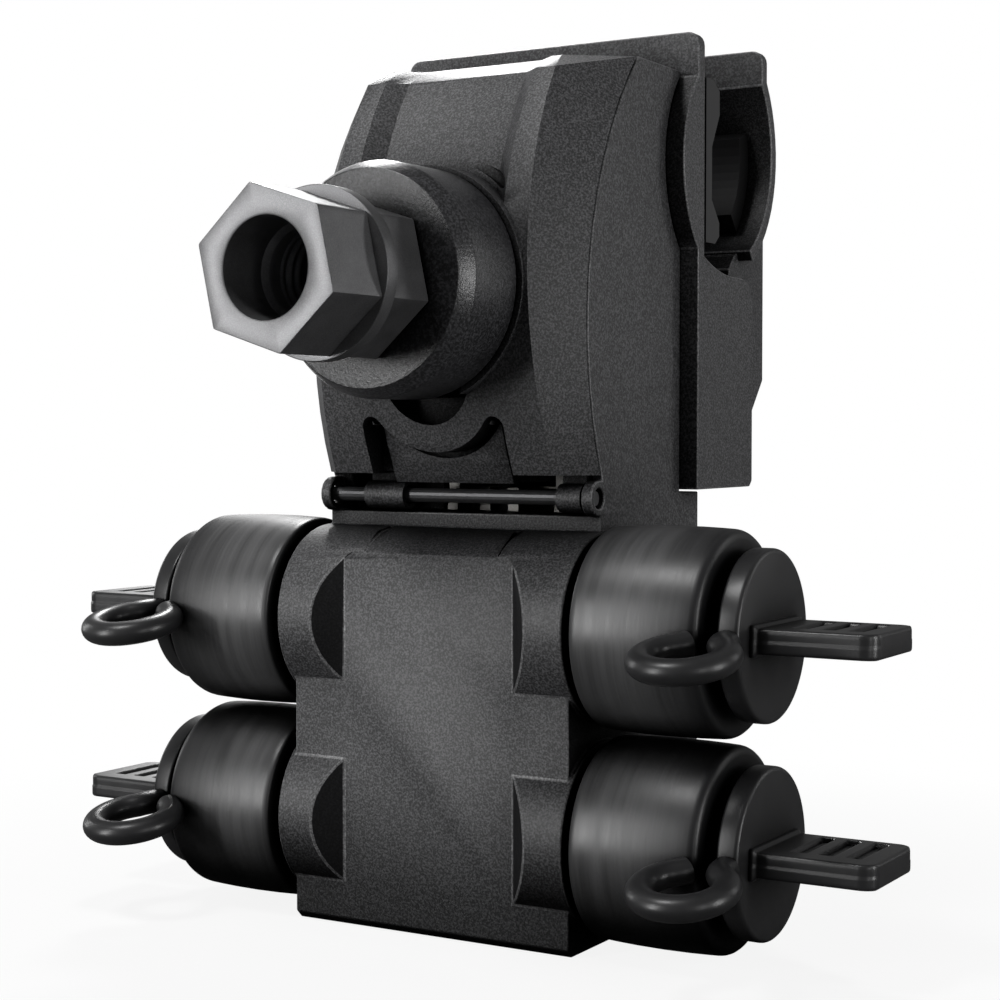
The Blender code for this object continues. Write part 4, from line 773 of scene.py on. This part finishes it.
def whiteStage():
    look = floorLook
    floor = bpy.data.meshes.new("floor")
    far = look["reach"]
    floor.from_pydata([(-far, -far, 0), (far, -far, 0), (far, far, 0), (-far, far, 0)], [], [(0, 1, 2, 3)])
    piece = bpy.data.objects.new("floor", floor)
    bpy.context.scene.collection.objects.link(piece)
    material = bpy.data.materials.new("paleFloor")
    tree, rays, seen = emptyTree(material)
    add, link = tree.nodes.new, tree.links.new
    away = add("ShaderNodeVectorMath")
    away.operation = "LENGTH"
    link(add("ShaderNodeTexCoord").outputs["Object"], away.inputs[0])
    fade = rangeNode(tree, away.outputs["Value"], look["nearShare"], 1.0, look["fadeFrom"], look["fadeTo"])
    paint = add("ShaderNodeBsdfDiffuse")
    link(rangeNode(tree, seen, look["thrown"], look["seen"]), paint.inputs["Color"])
    glow = add("ShaderNodeEmission")
    glow.inputs["Color"].default_value = (1, 1, 1, 1)
    mix = add("ShaderNodeMixShader")
    link(mathNode(tree, "MULTIPLY", seen, fade), mix.inputs["Fac"])
    link(paint.outputs[0], mix.inputs[1])
    link(glow.outputs[0], mix.inputs[2])
    link(mix.outputs[0], add("ShaderNodeOutputMaterial").inputs["Surface"])
    floor.materials.append(material)


def whiteWorld():
    world = bpy.data.worlds.new("studio")
    bpy.context.scene.world = world
    tree, rays, seen = emptyTree(world)
    gloss = mathNode(tree, "MULTIPLY_ADD", rays["Is Glossy Ray"], backdrop["mirrorShare"], seen)
    sky = tree.nodes.new("ShaderNodeBackground")
    sky.inputs["Color"].default_value = (1, 1, 1, 1)
    tree.links.new(rangeNode(tree, gloss, backdrop["strength"], 1.0), sky.inputs["Strength"])
    tree.links.new(sky.outputs[0], tree.nodes.new("ShaderNodeOutputWorld").inputs["Surface"])


def softLight(name, location, target, size, power):
    data = bpy.data.lights.new(name, "AREA")
    data.shape = "RECTANGLE"
    data.size, data.size_y = size
    data.energy = power
    lamp = bpy.data.objects.new(name, data)
    bpy.context.scene.collection.objects.link(lamp)
    lamp.location = location
    lamp.rotation_euler = (Vector(target) - Vector(location)).to_track_quat("-Z", "Y").to_euler()


whiteStage()
whiteWorld()
for name, settings in lights.items():
    softLight(name, *settings)

camera = bpy.data.objects.new("camera", bpy.data.cameras.new("camera"))
bpy.context.scene.collection.objects.link(camera)
camera.location = view["place"]
camera.rotation_euler = (math.radians(view["tilt"]), 0, math.radians(view["turn"]))
camera.data.lens = view["lens"]
camera.data.sensor_width = view["sensor"]
camera.data.clip_start = view["near"]
bpy.context.scene.camera = camera
bpy.context.scene.view_settings.view_transform = "Standard"
print("stage made")
